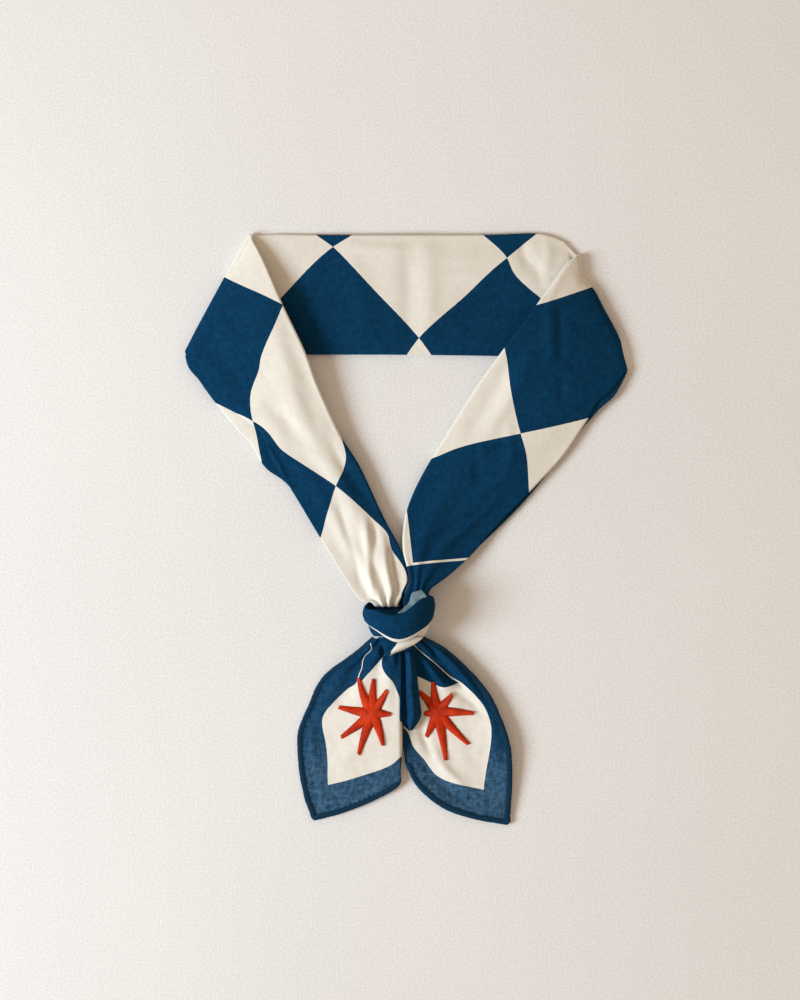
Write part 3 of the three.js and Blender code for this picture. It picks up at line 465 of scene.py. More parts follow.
# %% The cloth across the band
FACE_POINTS, TURN_POINTS, OPEN_POINTS, MIDDLE_POINTS = 44, 9, 7, 12
FACE_WALL, CLOSED_TURN, OTHER_WALL, OPEN_TURN, MIDDLE_WALL = range(5)
FREE_EDGE, BACK_PEEK = 0.0013, 0.0022
EDGE_TAPER, TAPER_WIDTH, THINNEST_EDGE = 0.45, 0.012, 0.0006
MIDDLE_REACH = 0.7


def ease(share):
    """From 0 to 1, without a corner at either end."""
    return 0.5 - 0.5 * np.cos(np.pi * share)


def gather_depth(share, gather):
    """How deep the gathers are at a share of the width."""
    place = np.clip(share, 0, 1) * (len(GATHERS) - 1)
    first = np.minimum(place.astype(int), len(GATHERS) - 2)
    blend = ease(place - first)
    return gather * GATHER_DEPTH * (GATHERS[first] * (1 - blend) + GATHERS[first + 1] * blend)


def across_band(width, peek, gather, layer):
    """Place across, depth, length run from the middle of the face, and wall, for each point."""
    half = width / 2 - LAYER_STEP
    edge = max(layer * (1 - EDGE_TAPER), THINNEST_EDGE)
    face = np.linspace(-half - FREE_EDGE + peek, half, FACE_POINTS)
    back = np.linspace(half, -half, FACE_POINTS)
    middle = np.linspace(-half, MIDDLE_REACH * half, MIDDLE_POINTS)
    turn = np.linspace(0, np.pi, TURN_POINTS + 2)[1:-1]
    small = np.linspace(0, np.pi, OPEN_POINTS + 2)[1:-1]

    def deep(place):
        return gather_depth((place + half) / (2 * half), gather)

    def thick(place):
        return layer + (edge - layer) * ease(np.clip((np.abs(place) - half) / TAPER_WIDTH + 1, 0, 1))

    across = [face, half + edge * np.sin(turn), back, -half - edge / 2 * np.sin(small), middle]
    depth = [deep(face) - thick(face), deep(half + 0 * turn) - edge * np.cos(turn), deep(back) + thick(back),
             deep(-half + 0 * small) + edge / 2 * (1 + np.cos(small)), deep(middle)]
    run = [face, half + edge * turn, half + edge * np.pi + (half - back),
           3 * half + edge * (np.pi + small / 2), 3 * half + edge * 1.5 * np.pi + (middle + half)]
    wall = [np.full(len(part), k) for k, part in enumerate(run)]
    return [np.concatenate(part) for part in (across, depth, run, wall)]


def band_section(inner, outer, turn, side, peek, gather, layer):
    """The cloth between two edges of the band, rolled over by turn."""
    width = np.linalg.norm(inner - outer)
    ruling = (inner - outer) / width
    rise = UP - ruling * (UP @ ruling)
    rise /= np.linalg.norm(rise)
    outwards = -side * np.cross(rise, ruling)
    normal = rise * np.cos(turn) - outwards * np.sin(turn)
    across, depth, run, wall = across_band(width, peek, gather, layer)
    centre = (inner + outer) / 2
    points = centre + np.outer(across, ruling) + np.outer(depth, normal)
    return dict(points=points, ruling=ruling, normal=normal, across=across, run=run, wall=wall,
                centre=centre, half=width / 2 - LAYER_STEP, turn=turn, layer=layer)


print("points across the band", len(across_band(BAND_WIDTH, 0, 0, LAYER)[0]))

# %% [markdown]
# The sections follow the loop: up the left arm from the knot, over the left corner, along the back,
# over the right corner and down to the knot. At a corner the band rolls half a turn round a
# line, like a page that is folded over without a crease.

# %% The sections round the loop
ARM_STEPS, CORNER_STEPS, BACK_STEPS = 11, 18, 90
CORNER_RADIUS, TIP_REACH = 0.00105, 0.0016


def arm_layer(place):
    """How far the outer walls lie from the middle wall."""
    return LAYER * np.interp(place, [0, 1, 3], [0.42, 0.5, 1.0])


def back_layer(place):
    """The same along the back stretch, thinner under both corners."""
    return LAYER * np.interp(place, [0, 1.2, 2, 3, 5], [0.42, 0.8, 1.0, 0.8, 0.42])


def arm_edges(side, place):
    """Both edges of an arm, its gathers, and how far its free edge is drawn back."""
    rows = LEFT_ROWS if side < 0 else RIGHT_ROWS
    aside, down, reach, slant, inner, outer, climb, gather, peek = between_rows(rows, place)
    slant = np.radians(slant)
    low = arm_layer(place) + CLOTH / 2 + gather * GATHER_DEPTH
    level = low + climb * (KNOT_MIDDLE - low)
    start = np.array([side * aside * HALF_SPAN, -down * KNOT_DROP, level + inner * 2 * FOLD_RADIUS])
    way = np.array([side * np.sin(slant), -np.cos(slant), 0])
    end = start + way * reach * BAND_WIDTH
    end[2] = level + outer * 2 * FOLD_RADIUS
    return start + LOOP_PLACE, end + LOOP_PLACE, gather, peek * BAND_WIDTH


def arm_sections(side):
    sections = []
    for place in np.arange(4, (len(LEFT_ROWS) - 1) * ARM_STEPS + 1) / ARM_STEPS:
        inner, outer, gather, peek = arm_edges(side, place)
        made = band_section(inner, outer, np.pi, side, peek, gather, arm_layer(place))
        sections.append(made | {"part": "arm", "side": side})
    return sections


def corner_sections(side):
    inner, outer, _, peek = arm_edges(side, 0)
    ruling = (inner - outer) / np.linalg.norm(inner - outer)
    outwards = -side * np.cross(UP, ruling)
    level = CORNER_RADIUS + arm_layer(0) + CLOTH / 2
    sections = []
    for step in range(CORNER_STEPS + 1):
        turn = np.pi * step / CORNER_STEPS
        move = outwards * (CORNER_RADIUS * np.sin(turn) - level) - UP * CORNER_RADIUS * np.cos(turn)
        reach = outer - ruling * TIP_REACH * (1 - np.cos(turn)) / 2
        ends = [np.array([*(end + move)[:2], level + move[2]]) for end in (inner, reach)]
        free = BACK_PEEK + (peek - BACK_PEEK) * step / CORNER_STEPS
        made = band_section(*ends, turn, side, free, 0, arm_layer(0))
        sections.append(made | {"part": "corner", "side": side, "roll": outwards})
    return sections


def back_sections():
    sections = []
    for place in along_rows(BACK_ROWS, BACK_STEPS):
        upper, lower, drop, sag = between_rows(BACK_ROWS, place)
        level = back_layer(place) + CLOTH / 2
        inner = LOOP_PLACE + [upper * HALF_SPAN, -drop * BAND_WIDTH, level]
        outer = LOOP_PLACE + [lower * HALF_SPAN, -(1 + sag) * BAND_WIDTH, level]
        made = band_section(inner, outer, 0, 1, BACK_PEEK, 0, back_layer(place))
        sections.append(made | {"part": "back", "side": 1})
    return sections


print("steps along one arm", (len(LEFT_ROWS) - 1) * ARM_STEPS)

# %% [markdown]
# The tables give smooth edges, but folded cloth bulges a little here and there. More rows in the
# tables could follow that, and would be harder to read. So three small shifts, each round one place
# of the photograph, move the outline by one to three millimetres.

# %% Small shifts of the outline
# pixel x, pixel y, radius, right and down in pixels
NUDGES = [(618, 338, 30, 6.0, 0.0), (590, 274, 12, -6.0, 1.0), (198, 380, 12, 2.5, -1.0)]


def nudged(points):
    """The points moved by the small shifts, in plan."""
    pixels = in_pixels(points)
    moved = points.copy()
    for x, y, radius, right, down in NUDGES:
        share = np.exp(-(((pixels - [x, y]) / radius) ** 2).sum(-1))
        moved[:, 0] += right * PIXEL * share
        moved[:, 1] -= down * PIXEL * share
    return moved


band = [*arm_sections(-1)[::-1], *corner_sections(-1)[::-1], *back_sections(),
        *corner_sections(1), *arm_sections(1)]
for section in band:
    section["points"] = nudged(section["points"])
print("sections round the band", len(band))

# %% [markdown]
# Each point of the band now finds its place on the print. A face that shows takes the pixel where it
# shows. Cloth that has turned out of sight goes on from the edge by the length it has run, so the
# checks go round the folded edges unbroken.

# %% The print on the band
NAVY_BORDER = (FIELD_HIGH + 0.12, 0.0)


def pixel_step(vector):
    """A step on the table, in pixels."""
    return np.asarray(vector)[:2] / PIXEL * [1, -1]


def shown_pixels(section):
    """Pixels of every point, going on from the closed edge for the walls behind it."""
    pixels = in_pixels(section["points"])
    wall, run, half = section["wall"], section["run"], section["half"]
    edge = in_pixels(section["centre"] + section["ruling"] * half)
    turned = pixel_step(section["ruling"])
    if section["part"] == "back":
        hidden = (wall == FACE_WALL) | (wall == CLOSED_TURN)
        closed_end = run[wall == OTHER_WALL][0] - np.max(section["across"][wall == OTHER_WALL]) + half
        beyond = closed_end - run
    else:
        hidden = (wall == CLOSED_TURN) | (wall == OTHER_WALL)
        beyond = run - half
    pixels[hidden] = edge + np.outer(beyond[hidden], turned)
    if section["part"] == "corner" and section["turn"] < np.pi / 2:
        rolled = (CORNER_RADIUS + section["layer"]) * (np.pi / 2 - section["turn"])
        outer_face = wall == FACE_WALL
        pixels[outer_face] += pixel_step(section["roll"]) * rolled
    return pixels


def band_print(section):
    pixels = shown_pixels(section)
    arm = LEFT_ARM_PRINT if section["side"] < 0 else RIGHT_ARM_PRINT
    if section["part"] == "back":
        return BACK_PRINT(pixels)
    place = arm(pixels)
    if section["part"] == "corner" and section["turn"] < np.pi / 2:
        inside = section["wall"] > CLOSED_TURN
        place[inside] = BACK_PRINT(in_pixels(section["points"]))[inside]
        return place
    near_open_edge = (section["wall"] == OTHER_WALL) & (section["across"] < 0)
    if section["side"] > 0:
        place[near_open_edge | (section["wall"] > OTHER_WALL)] = NAVY_BORDER
    else:
        place[near_open_edge] = arm(in_pixels(section["points"][near_open_edge]))
    return place


band_places = np.stack([band_print(section) for section in band])
fabric = np.concatenate([band_places, np.zeros_like(band_places[..., :1])], -1)
print("fabric of the band", fabric.shape, fabric.min((0, 1)), fabric.max((0, 1)))

# %% [markdown]
# Ironed cotton still has soft folds. The sharp ones are drawn as lines read from the photograph,
# each with a width and a height, and raise or lower the face that shows. Slow noise, stretched along
# the band, adds the small unevenness between them. Both are real relief in the mesh, because a bump
# map alone would leave the edges of the cloth dead straight.

# %% Folds and creases
def near_line(pixels, line):
    """How far each pixel is from a line of points, and how far along it the nearest place is."""
    line = np.asarray(line, float)
    steps = np.diff(line, axis=0)
    lengths = np.linalg.norm(steps, axis=1)
    starts = np.concatenate([[0], np.cumsum(lengths)])
    best = np.full(len(pixels), np.inf)
    along = np.zeros(len(pixels))
    for k, step in enumerate(steps):
        share = np.clip((pixels - line[k]) @ step / lengths[k] ** 2, 0, 1)
        far = np.linalg.norm(pixels - line[k] - share[:, None] * step, axis=1)
        nearer = far < best
        best[nearer] = far[nearer]
        along[nearer] = starts[k] + share[nearer] * lengths[k]
    return best, along / starts[-1]


CREASE_DEPTH, CREASE_SPREAD = 1.6, 0.85


def creases(pixels, lines):
    """The height that creases add: each is (width in pixels, height in metres, points)."""
    raised = np.zeros(len(pixels))
    for width, height, line in lines:
        far, along = near_line(pixels, line)
        ends = np.sqrt(np.clip(np.sin(np.pi * (0.04 + 0.92 * along)), 0, 1))
        raised += CREASE_DEPTH * height * ends * np.exp(-(far / (CREASE_SPREAD * width)) ** 2)
    return raised


def rumple(along, across, length, width, seed):
    """Slow noise with bumps of about this length and width."""
    values = [noise.noise(Vector((a / length, b / width, seed))) for a, b in zip(along, across)]
    return np.array(values)


LEFT_CREASES = [
    (3.0, 0.0007, [(256, 437), (270, 450), (280, 466), (288, 487), (297, 508)]),
    (5.0, -0.0007, [(352, 548), (358, 566), (361, 583)]),
    (4.0, -0.0009, [(373, 524), (375, 540), (375, 556)]),
    (5.0, -0.0006, [(339, 505), (346, 530), (352, 548)]),
    (4.0, 0.0008, [(366, 520), (367, 545), (370, 575), (372, 598)]),
    (4.0, 0.0008, [(383, 535), (386, 560), (390, 595)]),
    (3.0, -0.0010, [(391, 548), (394, 570), (398, 594)]),
    (12.0, 0.0005, [(270, 310), (285, 360), (300, 410), (318, 450)]),
    (9.0, -0.0004, [(262, 400), (290, 425), (318, 452)]),
    (10.0, -0.0005, [(205, 345), (232, 368), (250, 402)]),
    (7.0, 0.0004, [(215, 330), (240, 340), (262, 330)]),
    (6.0, -0.0005, [(330, 440), (345, 470), (372, 505)]),
]
RIGHT_CREASES = [
    (6.0, 0.0006, [(550, 303), (551, 330), (551, 357)]),
    (5.0, -0.0005, [(559, 303), (560, 330), (560, 357)]),
    (4.0, -0.0006, [(562, 378), (562, 400)]),
    (4.0, -0.0006, [(475, 446), (477, 465), (478, 484)]),
    (4.0, 0.0005, [(508, 425), (511, 450), (509, 470)]),
    (6.0, 0.0006, [(475, 507), (440, 524), (414, 534)]),
    (5.0, -0.0006, [(470, 517), (440, 535), (416, 546)]),
    (4.0, 0.0006, [(500, 498), (465, 530), (436, 552)]),
    (4.0, -0.0010, [(566, 246), (555, 268), (543, 292)]),
    (4.0, 0.0007, [(575, 250), (560, 275), (548, 298)]),
    (5.0, 0.0006, [(548, 243), (541, 262), (536, 280)]),
    (9.0, -0.0006, [(520, 350), (500, 385), (470, 430)]),
    (8.0, 0.0005, [(540, 345), (520, 380), (490, 430)]),
    (5.0, 0.0006, [(455, 572), (443, 582), (432, 592)]),
]
BACK_CREASES = [
    (10.0, -0.0006, [(407, 236), (409, 290), (408, 350)]),
    (9.0, 0.0004, [(428, 240), (430, 290), (428, 345)]),
    (6.0, -0.0005, [(522, 240), (524, 256), (530, 272)]),
    (14.0, 0.0005, [(350, 255), (362, 300), (368, 350)]),
    (9.0, -0.0005, [(300, 280), (312, 315), (325, 350)]),
    (16.0, -0.0005, [(455, 310), (480, 300), (515, 290)]),
    (7.0, 0.0004, [(345, 244), (385, 250), (420, 246)]),
    (6.0, -0.0005, [(530, 258), (537, 270), (541, 284)]),
    (7.0, 0.0004, [(546, 240), (549, 255), (545, 270)]),
]
print("creases", len(LEFT_CREASES) + len(RIGHT_CREASES) + len(BACK_CREASES))

# %% [markdown]
# Each section of the band now gets its relief: the creases, a soft swelling over the whole width and
# the slow unevenness. A displace modifier could add it, but it would move all three walls. Here only
# the face that shows is moved, and the relief gets lower towards the folded edges.

# %% The relief of the band
PUFF = 0.0005
# height, length, width, seed
RUMPLES = [(0.00045, 0.034, 0.016, 3), (0.00018, 0.011, 0.006, 7)]
EDGE_PAST, EDGE_FADE, EDGE_SHARE = 0.0006, 0.004, 0.25


def relief(section, distance):
    """The height that folds add to the face that shows."""
    back = section["part"] == "back"
    shown = section["wall"] == (OTHER_WALL if back else FACE_WALL)
    across, half = section["across"][shown], section["half"]
    lines = BACK_CREASES if back else LEFT_CREASES if section["side"] < 0 else RIGHT_CREASES
    pixels = in_pixels(section["points"][shown])
    along = distance + 0 * across
    raised = creases(pixels, lines)
    raised += PUFF * np.cos(np.clip(across / half, -1, 1) * np.pi / 2)
    for height, length, width, seed in RUMPLES:
        raised += height * rumple(along, across, length, width, section["side"] + seed)
    fade = np.clip((half + EDGE_PAST - np.abs(across)) / EDGE_FADE, 0, 1)
    if section["part"] == "corner":
        fade = fade * np.clip(section["turn"] / np.pi * 2 - 1, 0, 1)
    total = np.zeros(len(section["wall"]))
    total[shown] = raised * (EDGE_SHARE + (1 - EDGE_SHARE) * fade) * (fade > 0)
    return total * (1 if back else -1)


grid = np.stack([section["points"] for section in band])
travelled = np.cumsum([0, *np.linalg.norm(np.diff([s["centre"] for s in band], axis=0), axis=1)])
for row, section in enumerate(band):
    grid[row] += np.outer(relief(section, travelled[row]), section["normal"])
grid[..., 2] = np.maximum(grid[..., 2], CLOTH / 2)
print("band runs", round(travelled[-1], 3), "metres")

# %% [markdown]
# The band is one strip of folded cloth on the real scarf. It could be made of a back and two arms
# that meet at the corners, but then a seam would show there. So it is one piece, and its area is
# measured here, so it can be set against the flat size of the strip.

# %% The band
back_row = len(band) // 2
back_column = FACE_POINTS + TURN_POINTS + FACE_POINTS // 2
neck_band = cloth_piece("scarf_band", grid, fabric, (back_row, back_column))
finish_piece(neck_band, "checked_cotton", "neck_band")


def sheet_area(grid):
    faces = grid_faces(*grid.shape[:2])
    a, b, c, d = (grid.reshape(-1, 3)[faces[:, k]] for k in range(4))
    return 0.5 * float(np.linalg.norm(np.cross(c - a, d - b), axis=1).sum())


def say_extent(name, grid):
    """Print the lowest and the highest corner of a grid, in metres."""
    points = grid.reshape(-1, 3)
    print(name, "from", points.min(0).round(4), "to", points.max(0).round(4))


print("area of the band", round(sheet_area(grid), 4))
say_extent("band", grid)

# %% [markdown]
# The knot is a turn of the same cloth round a gathered bundle. A tube would do for its outside, but
# its upper lip stands open and shows the inside. So the wrap is built as a cuff: up the outside,
# over the lip and down the inside, with a few slow folds round it.

# %% The wrap round the knot
KNOT_WIDTH, KNOT_HEIGHT, KNOT_LENGTH = 0.037, 0.025, 0.020
KNOT_PLACE = LOOP_PLACE + [-0.0038, -KNOT_DROP, KNOT_MIDDLE]
WRAP_WALL, WRAP_BULGE, WRAP_FOLDS, RIM_TUCK = 0.0016, 0.0008, 0.0007, 0.0012
# places of the lip and the rim, from the front over the right side to the back and the left
WRAP_ROWS = [(0.27, 0.96), (-0.13, 0.70), (-0.16, 0.32), (-0.20, 0.20),
             (-0.20, 0.20), (-0.08, 0.25), (0.12, 0.38), (0.17, 0.66)]
WRAP_ROUND, WRAP_OUT, WRAP_LIP, WRAP_IN = 120, 22, 7, 14


def wrap_row(angle):
    """The lip and the rim at an angle round the knot. The table goes round and starts again."""
    count = len(WRAP_ROWS)
    place = angle / (2 * np.pi) * count
    first = int(place) % count
    rows = [WRAP_ROWS[(first + k) % count] for k in (-1, 0, 1, 2)]
    return between_rows(rows, 1 + place - int(place))


def wrap_section(angle):
    lip, rim = wrap_row(angle)
    half_turn = np.linspace(0, np.pi, WRAP_LIP + 2)[1:-1]
    small = WRAP_WALL / 2 - CLOTH / 2
    out = np.linspace(1, 0.04, WRAP_OUT)
    share = np.concatenate([out, 0.04 - 0.04 * np.sin(half_turn), np.linspace(0.04, 0.9, WRAP_IN)])
    inset = np.concatenate([0 * out, small * (1 - np.cos(half_turn)), np.full(WRAP_IN, 2 * small)])
    inset[:WRAP_OUT] += RIM_TUCK * np.clip((out - 0.9) / 0.1, 0, 1) ** 2
    swell = WRAP_BULGE * (1 - (2 * share - 1) ** 2) - WRAP_BULGE - CLOTH / 2 - inset
    folds = np.array([noise.noise(Vector((angle * 1.6, s * 2.6, 4.0))) for s in share])
    swell += WRAP_FOLDS * folds * np.sin(np.pi * np.clip(share, 0, 1))
    return np.column_stack([
        (KNOT_WIDTH / 2 + swell) * np.sin(angle), -KNOT_LENGTH * (lip + (rim - lip) * share),
        (KNOT_HEIGHT / 2 + swell) * np.cos(angle)]) + KNOT_PLACE


wrap_angles = np.linspace(0, 2 * np.pi, WRAP_ROUND, endpoint=False)
wrap_grid = np.stack([wrap_section(angle) for angle in wrap_angles])
say_extent("wrap", wrap_grid)

# %% [markdown]
# The wrap is part of the navy border, and the thin cream line beside the border runs along its
# lower rim. The line could be a piece of its own, but it is dye, so it belongs to the print.
# Counting from the rim upwards, the fabric passes the line and then stays navy.

# %% The print on the wrap
wrap_fabric = np.zeros_like(wrap_grid)
into_border = np.concatenate([np.linspace(0, 0.16, WRAP_OUT), np.full(WRAP_LIP + WRAP_IN, 0.2)])
wrap_fabric[..., 0] = FIELD_HIGH + 0.001 + into_border
wrap_fabric[..., 1] = wrap_angles[:, None] / (2 * np.pi)
scarf_wrap = cloth_piece("scarf_wrap", wrap_grid, wrap_fabric, (2, WRAP_OUT // 2), round_rows=True)
finish_piece(scarf_wrap, "navy_cotton", "knot_wrap")
print("points round the wrap", WRAP_ROUND)

# %% [markdown]
# At the right the lip turns inwards, and a small flap shows the pale reverse of the cloth. Bending
# the wrap itself would pull its other folds along, so the flap is a small piece of its own. It spans
# between two lines read from the photograph, each with its height over the table.

# %% The turned lip
def over_pixel(x, y, high):
    """The place at a height that shows at a pixel."""
    nearer = CAMERA_HEIGHT / (CAMERA_HEIGHT - high)
    return np.array([*(CAMERA_PLACE + (on_table((x, y)) - CAMERA_PLACE) / nearer), high])


# pixel x, pixel y, height
LIP_LINE = [(398, 613, 0.0238), (409, 610.6, 0.0232), (417, 606, 0.0220), (427, 596, 0.0194)]
TURNED_LINE = [(402, 610.5, 0.0196), (409.5, 601, 0.0178), (412.5, 593, 0.0174), (421.5, 590, 0.0172)]
FLAP_STEPS, FLAP_COLUMNS, FLAP_SAG, FLAP_WAVE = 28, 16, 0.0010, 0.0002


def flap_line(place):
    lip = over_pixel(*between_rows(LIP_LINE, place))
    turned = over_pixel(*between_rows(TURNED_LINE, place))
    share = np.linspace(0, 1, FLAP_COLUMNS)
    points = lip + np.outer(share, turned - lip)
    points[:, 2] -= FLAP_SAG * np.sin(np.pi * share) + FLAP_WAVE * np.sin(9 * share + 2 * place)
    return points


def navy_fabric(grid, lit_through=0.0):
    """The navy border at every point of a grid, with a share of painted light through the cloth."""
    return np.broadcast_to((*NAVY_BORDER, lit_through), grid.shape).copy()


flap_grid = np.stack([flap_line(place) for place in along_rows(LIP_LINE, FLAP_STEPS)])
scarf_flap = cloth_piece("scarf_turned_lip", flap_grid, navy_fabric(flap_grid))
scarf_flap.data.polygons.foreach_set("material_index", [1] * len(scarf_flap.data.polygons))
finish_piece(scarf_flap, "navy_cotton")
say_extent("turned lip", flap_grid)

# %% [markdown]
# Inside the wrap the cloth is squeezed into deep gathers. They could be modelled layer by layer, but
# only their ends show, in shadow. So one closed bundle with ribs round it fills the wrap. Its right
# side is cream, because a cream check comes through there.

# %% The bundle in the knot
# place along the knot, width and height as shares of the room inside the wrap
CORE_ROWS = [(0.14, 0.90, 0.22), (0.24, 0.96, 0.50), (0.36, 1.00, 0.85), (0.50, 1.00, 1.00),
             (0.70, 0.92, 0.90), (0.82, 0.80, 0.62)]
CORE_ROUND, CORE_STEPS = 96, 20
CORE_RIBS, RIB_DEPTH, FINE_RIBS, FINE_DEPTH = 8, 0.0009, 19, 0.0003
GAP = 0.0003
CORE_ROOM = WRAP_WALL + WRAP_BULGE + GAP
CREAM_FROM_PIXEL = 408


def core_ring(place):
    along, wide, high = between_rows(CORE_ROWS, place)
    angle = np.linspace(0, 2 * np.pi, CORE_ROUND, endpoint=False)
    wander = 0.35 * np.sin(2 * angle + along * 3) + 0.25 * np.sin(3 * angle)
    rib = RIB_DEPTH * (0.5 - 0.5 * np.cos(CORE_RIBS * angle + wander * 2))
    rib += FINE_DEPTH * (0.5 - 0.5 * np.cos(FINE_RIBS * angle + wander))
    return np.column_stack([
        (wide * (KNOT_WIDTH / 2 - CORE_ROOM) - rib) * np.sin(angle),
        np.full(CORE_ROUND, -GAP - along * KNOT_LENGTH),
        (high * (KNOT_HEIGHT / 2 - CORE_ROOM) - rib) * np.cos(angle)]) + KNOT_PLACE


def shrunk(ring, share):
    """The ring drawn in towards its middle, to close an end of the bundle."""
    return ring.mean(0) + (ring - ring.mean(0)) * share


core_rings = [core_ring(place) for place in along_rows(CORE_ROWS, CORE_STEPS)]
start_cap = [shrunk(core_rings[0], share) for share in (0.02, 0.5, 0.9)]
end_cap = [shrunk(core_rings[-1], share) for share in (0.9, 0.5, 0.02)]
core_grid = np.stack([*start_cap, *core_rings, *end_cap])
core_grid = np.concatenate([core_grid, core_grid[:, :1]], 1)
core_faces = grid_faces(*core_grid.shape[:2])
bundle = mesh_piece("scarf_bundle", core_grid.reshape(-1, 3), core_faces, [printed_side])
core_fabric = navy_fabric(core_grid)
core_fabric[in_pixels(core_grid)[..., 0] > CREAM_FROM_PIXEL] = (FIELD_HIGH - 0.5, -0.5, 0)
keep_fabric(bundle, core_fabric)
finish_piece(bundle, "checked_cotton", "knot_core")
print("bundle", len(core_faces), "faces")

# %% [markdown]
# Below the wrap hangs a small fold: navy at the left, and cream where the corner of a check comes
# through at the right. It could be pulled out of the bundle, but it is a narrow sheet of its own,
# because its edges are sharp. It arches a little and lies over the tails.

# %% The small fold under the wrap
PARTING = LOOP_PLACE[0] - 0.0016
TAIL_TOP = LOOP_PLACE[1] - KNOT_DROP - 2 * GAP - CORE_ROWS[-1][0] * KNOT_LENGTH
FOLD_LENGTH, FOLD_CROWN, FOLD_WAVE, FOLD_THICKNESS = 0.011, 0.0015, 0.0004, 0.0012
# place along the fold, left and right side, height
FOLD_ROWS = [(0.00, -0.33, 0.27, 1.34), (0.25, -0.29, 0.17, 1.38), (0.50, -0.26, 0.02, 1.30),
             (0.72, -0.25, -0.13, 1.16), (0.90, -0.245, -0.215, 1.04)]
FOLD_COLUMNS, FOLD_STEPS = 34, 30


def fold_line(place):
    along, left, right, high = between_rows(FOLD_ROWS, place)
    share = np.linspace(0, 1, FOLD_COLUMNS)
    crown = FOLD_CROWN * 4 * share * (1 - share) + FOLD_WAVE * np.sin(share * 9 + along * 3)
    return np.column_stack([
        PARTING + KNOT_WIDTH * (left + (right - left) * share),
        np.full(FOLD_COLUMNS, TAIL_TOP - along * FOLD_LENGTH),
        high * KNOT_MIDDLE + crown + FOLD_THICKNESS / 2])


fold_grid = np.stack([fold_line(place) for place in along_rows(FOLD_ROWS, FOLD_STEPS)])
# two pixels on the edge of the check
CHECK_EDGE = np.array([(390, 653.5), (397, 643.5)])
edge_way = (CHECK_EDGE[1] - CHECK_EDGE[0]) / np.linalg.norm(CHECK_EDGE[1] - CHECK_EDGE[0])
fold_pixels = in_pixels(fold_grid) - CHECK_EDGE[0]
right_of_edge = fold_pixels[..., 1] * edge_way[0] - fold_pixels[..., 0] * edge_way[1]
fold_fabric = np.zeros_like(fold_grid)
fold_fabric[..., 0] = FIELD_HIGH + LINE_WIDTH - right_of_edge * PIXEL / BAND_WIDTH
fold_fabric[..., 1] = -0.5
scarf_fold = cloth_piece("scarf_fold", fold_grid, fold_fabric, (2, 5), thickness=FOLD_THICKNESS)
finish_piece(scarf_fold, "navy_cotton", "knot_fold")
say_extent("fold", fold_grid)

# %% [markdown]
# The tails are the two free corners of the square, one layer each. A flat corner could be bent by
# hand, but a table of rows is easier to set against the photograph. The tables are those of the CAD
# part: both sides of each tail, their heights, the arch between them, the gathers that fan out from
# the knot, and how far the inner side rolls under.

# %% The sizes of the tails
TAIL_LENGTH, TAIL_WIDTH, TAIL_WALL = 0.0953, 0.0544, 0.0010
ROLL_RADIUS, ROLL_TUCK, TAIL_RIPPLE, HEM_WIDTH = 0.0019, 0.009, 0.0011, 0.0030
LEAST_ROLL = 0.45 * (TAIL_WALL + 2 * GAP)
# outer along, outer out, inner along, inner out, outer high, inner high, crown, ripple, roll
LEFT_TAIL = [
    (0.00, 0.280, 0.00, 0.02, 0.62, 0.72, 0.05, 0.9, 0.6),
    (0.09, 0.460, 0.09, 0.01, 0.36, 0.70, 0.12, 1.0, 0.8),
    (0.22, 0.750, 0.24, 0.00, 0.14, 0.66, 0.10, 0.5, 1.0),
    (0.38, 0.890, 0.39, 0.00, 0.08, 0.64, 0.06, 0.1, 1.0),
    (0.51, 0.980, 0.51, 0.00, 0.08, 0.56, 0.03, 0.1, 1.0),
    (0.62, 0.990, 0.61, 0.00, 0.08, 0.46, 0.02, 0.1, 0.9),
    (0.76, 0.965, 0.72, 0.01, 0.08, 0.34, 0.01, 0.1, 0.6),
    (0.87, 0.925, 0.81, 0.04, 0.10, 0.24, 0.01, 0.1, 0.1),
    (0.92, 0.895, 0.90, 0.32, 0.12, 0.18, 0.01, 0.0, 0.0),
    (0.95, 0.872, 0.96, 0.59, 0.13, 0.17, 0.01, 0.0, 0.0),
]
RIGHT_TAIL = [
    (0.00, 0.190, 0.00, 0.02, 0.66, 0.66, 0.05, 0.6, 0.3),
    (0.08, 0.430, 0.09, 0.01, 0.50, 0.56, 0.10, 1.0, 0.3),
    (0.27, 0.760, 0.25, 0.01, 0.40, 0.33, 0.00, 0.5, 0.3),
    (0.44, 0.920, 0.39, -0.004, 0.42, 0.18, -0.05, 0.2, 0.3),
    (0.58, 1.000, 0.51, -0.008, 0.42, 0.14, -0.07, 0.1, 0.2),
    (0.70, 1.020, 0.61, -0.006, 0.36, 0.14, -0.06, 0.1, 0.1),
    (0.80, 1.020, 0.71, 0.03, 0.28, 0.18, -0.03, 0.1, 0.0),
    (0.91, 1.010, 0.82, 0.14, 0.20, 0.17, -0.02, 0.0, 0.0),
    (0.95, 1.005, 0.93, 0.38, 0.16, 0.17, 0.00, 0.0, 0.0),
    (0.97, 0.998, 0.99, 0.68, 0.15, 0.17, 0.00, 0.0, 0.0),
]
TAIL_TIPS = {-1: (1.00, 0.835, 0.14), 1: (1.025, 0.985, 0.13)}
HEM_START, HEM_LEAD = {-1: 7, 1: 6}, 7
TAIL_STEPS, TAIL_COLUMNS, ROLL_POINTS, TUCK_POINTS = 16, 56, 9, 8


print("rows in the tables of the tails", len(LEFT_TAIL), len(RIGHT_TAIL))

# %% [markdown]
# The cut edge of a tail goes down its outer side, round the tip and back along the lower edge. The
# cloth and the hem could each follow a line of their own, and would come apart at the first change.
# So the edge is worked out once from the table, and both take it, moved inwards a little.

# %% The cut edge of a tail
def tail_place(side, along, out, high):
    """A place on a tail, from its place down the tail and out from the parting line."""
    across = PARTING + side * (GAP + out * TAIL_WIDTH)
    return np.array([across, TAIL_TOP - along * TAIL_LENGTH, high * KNOT_MIDDLE])


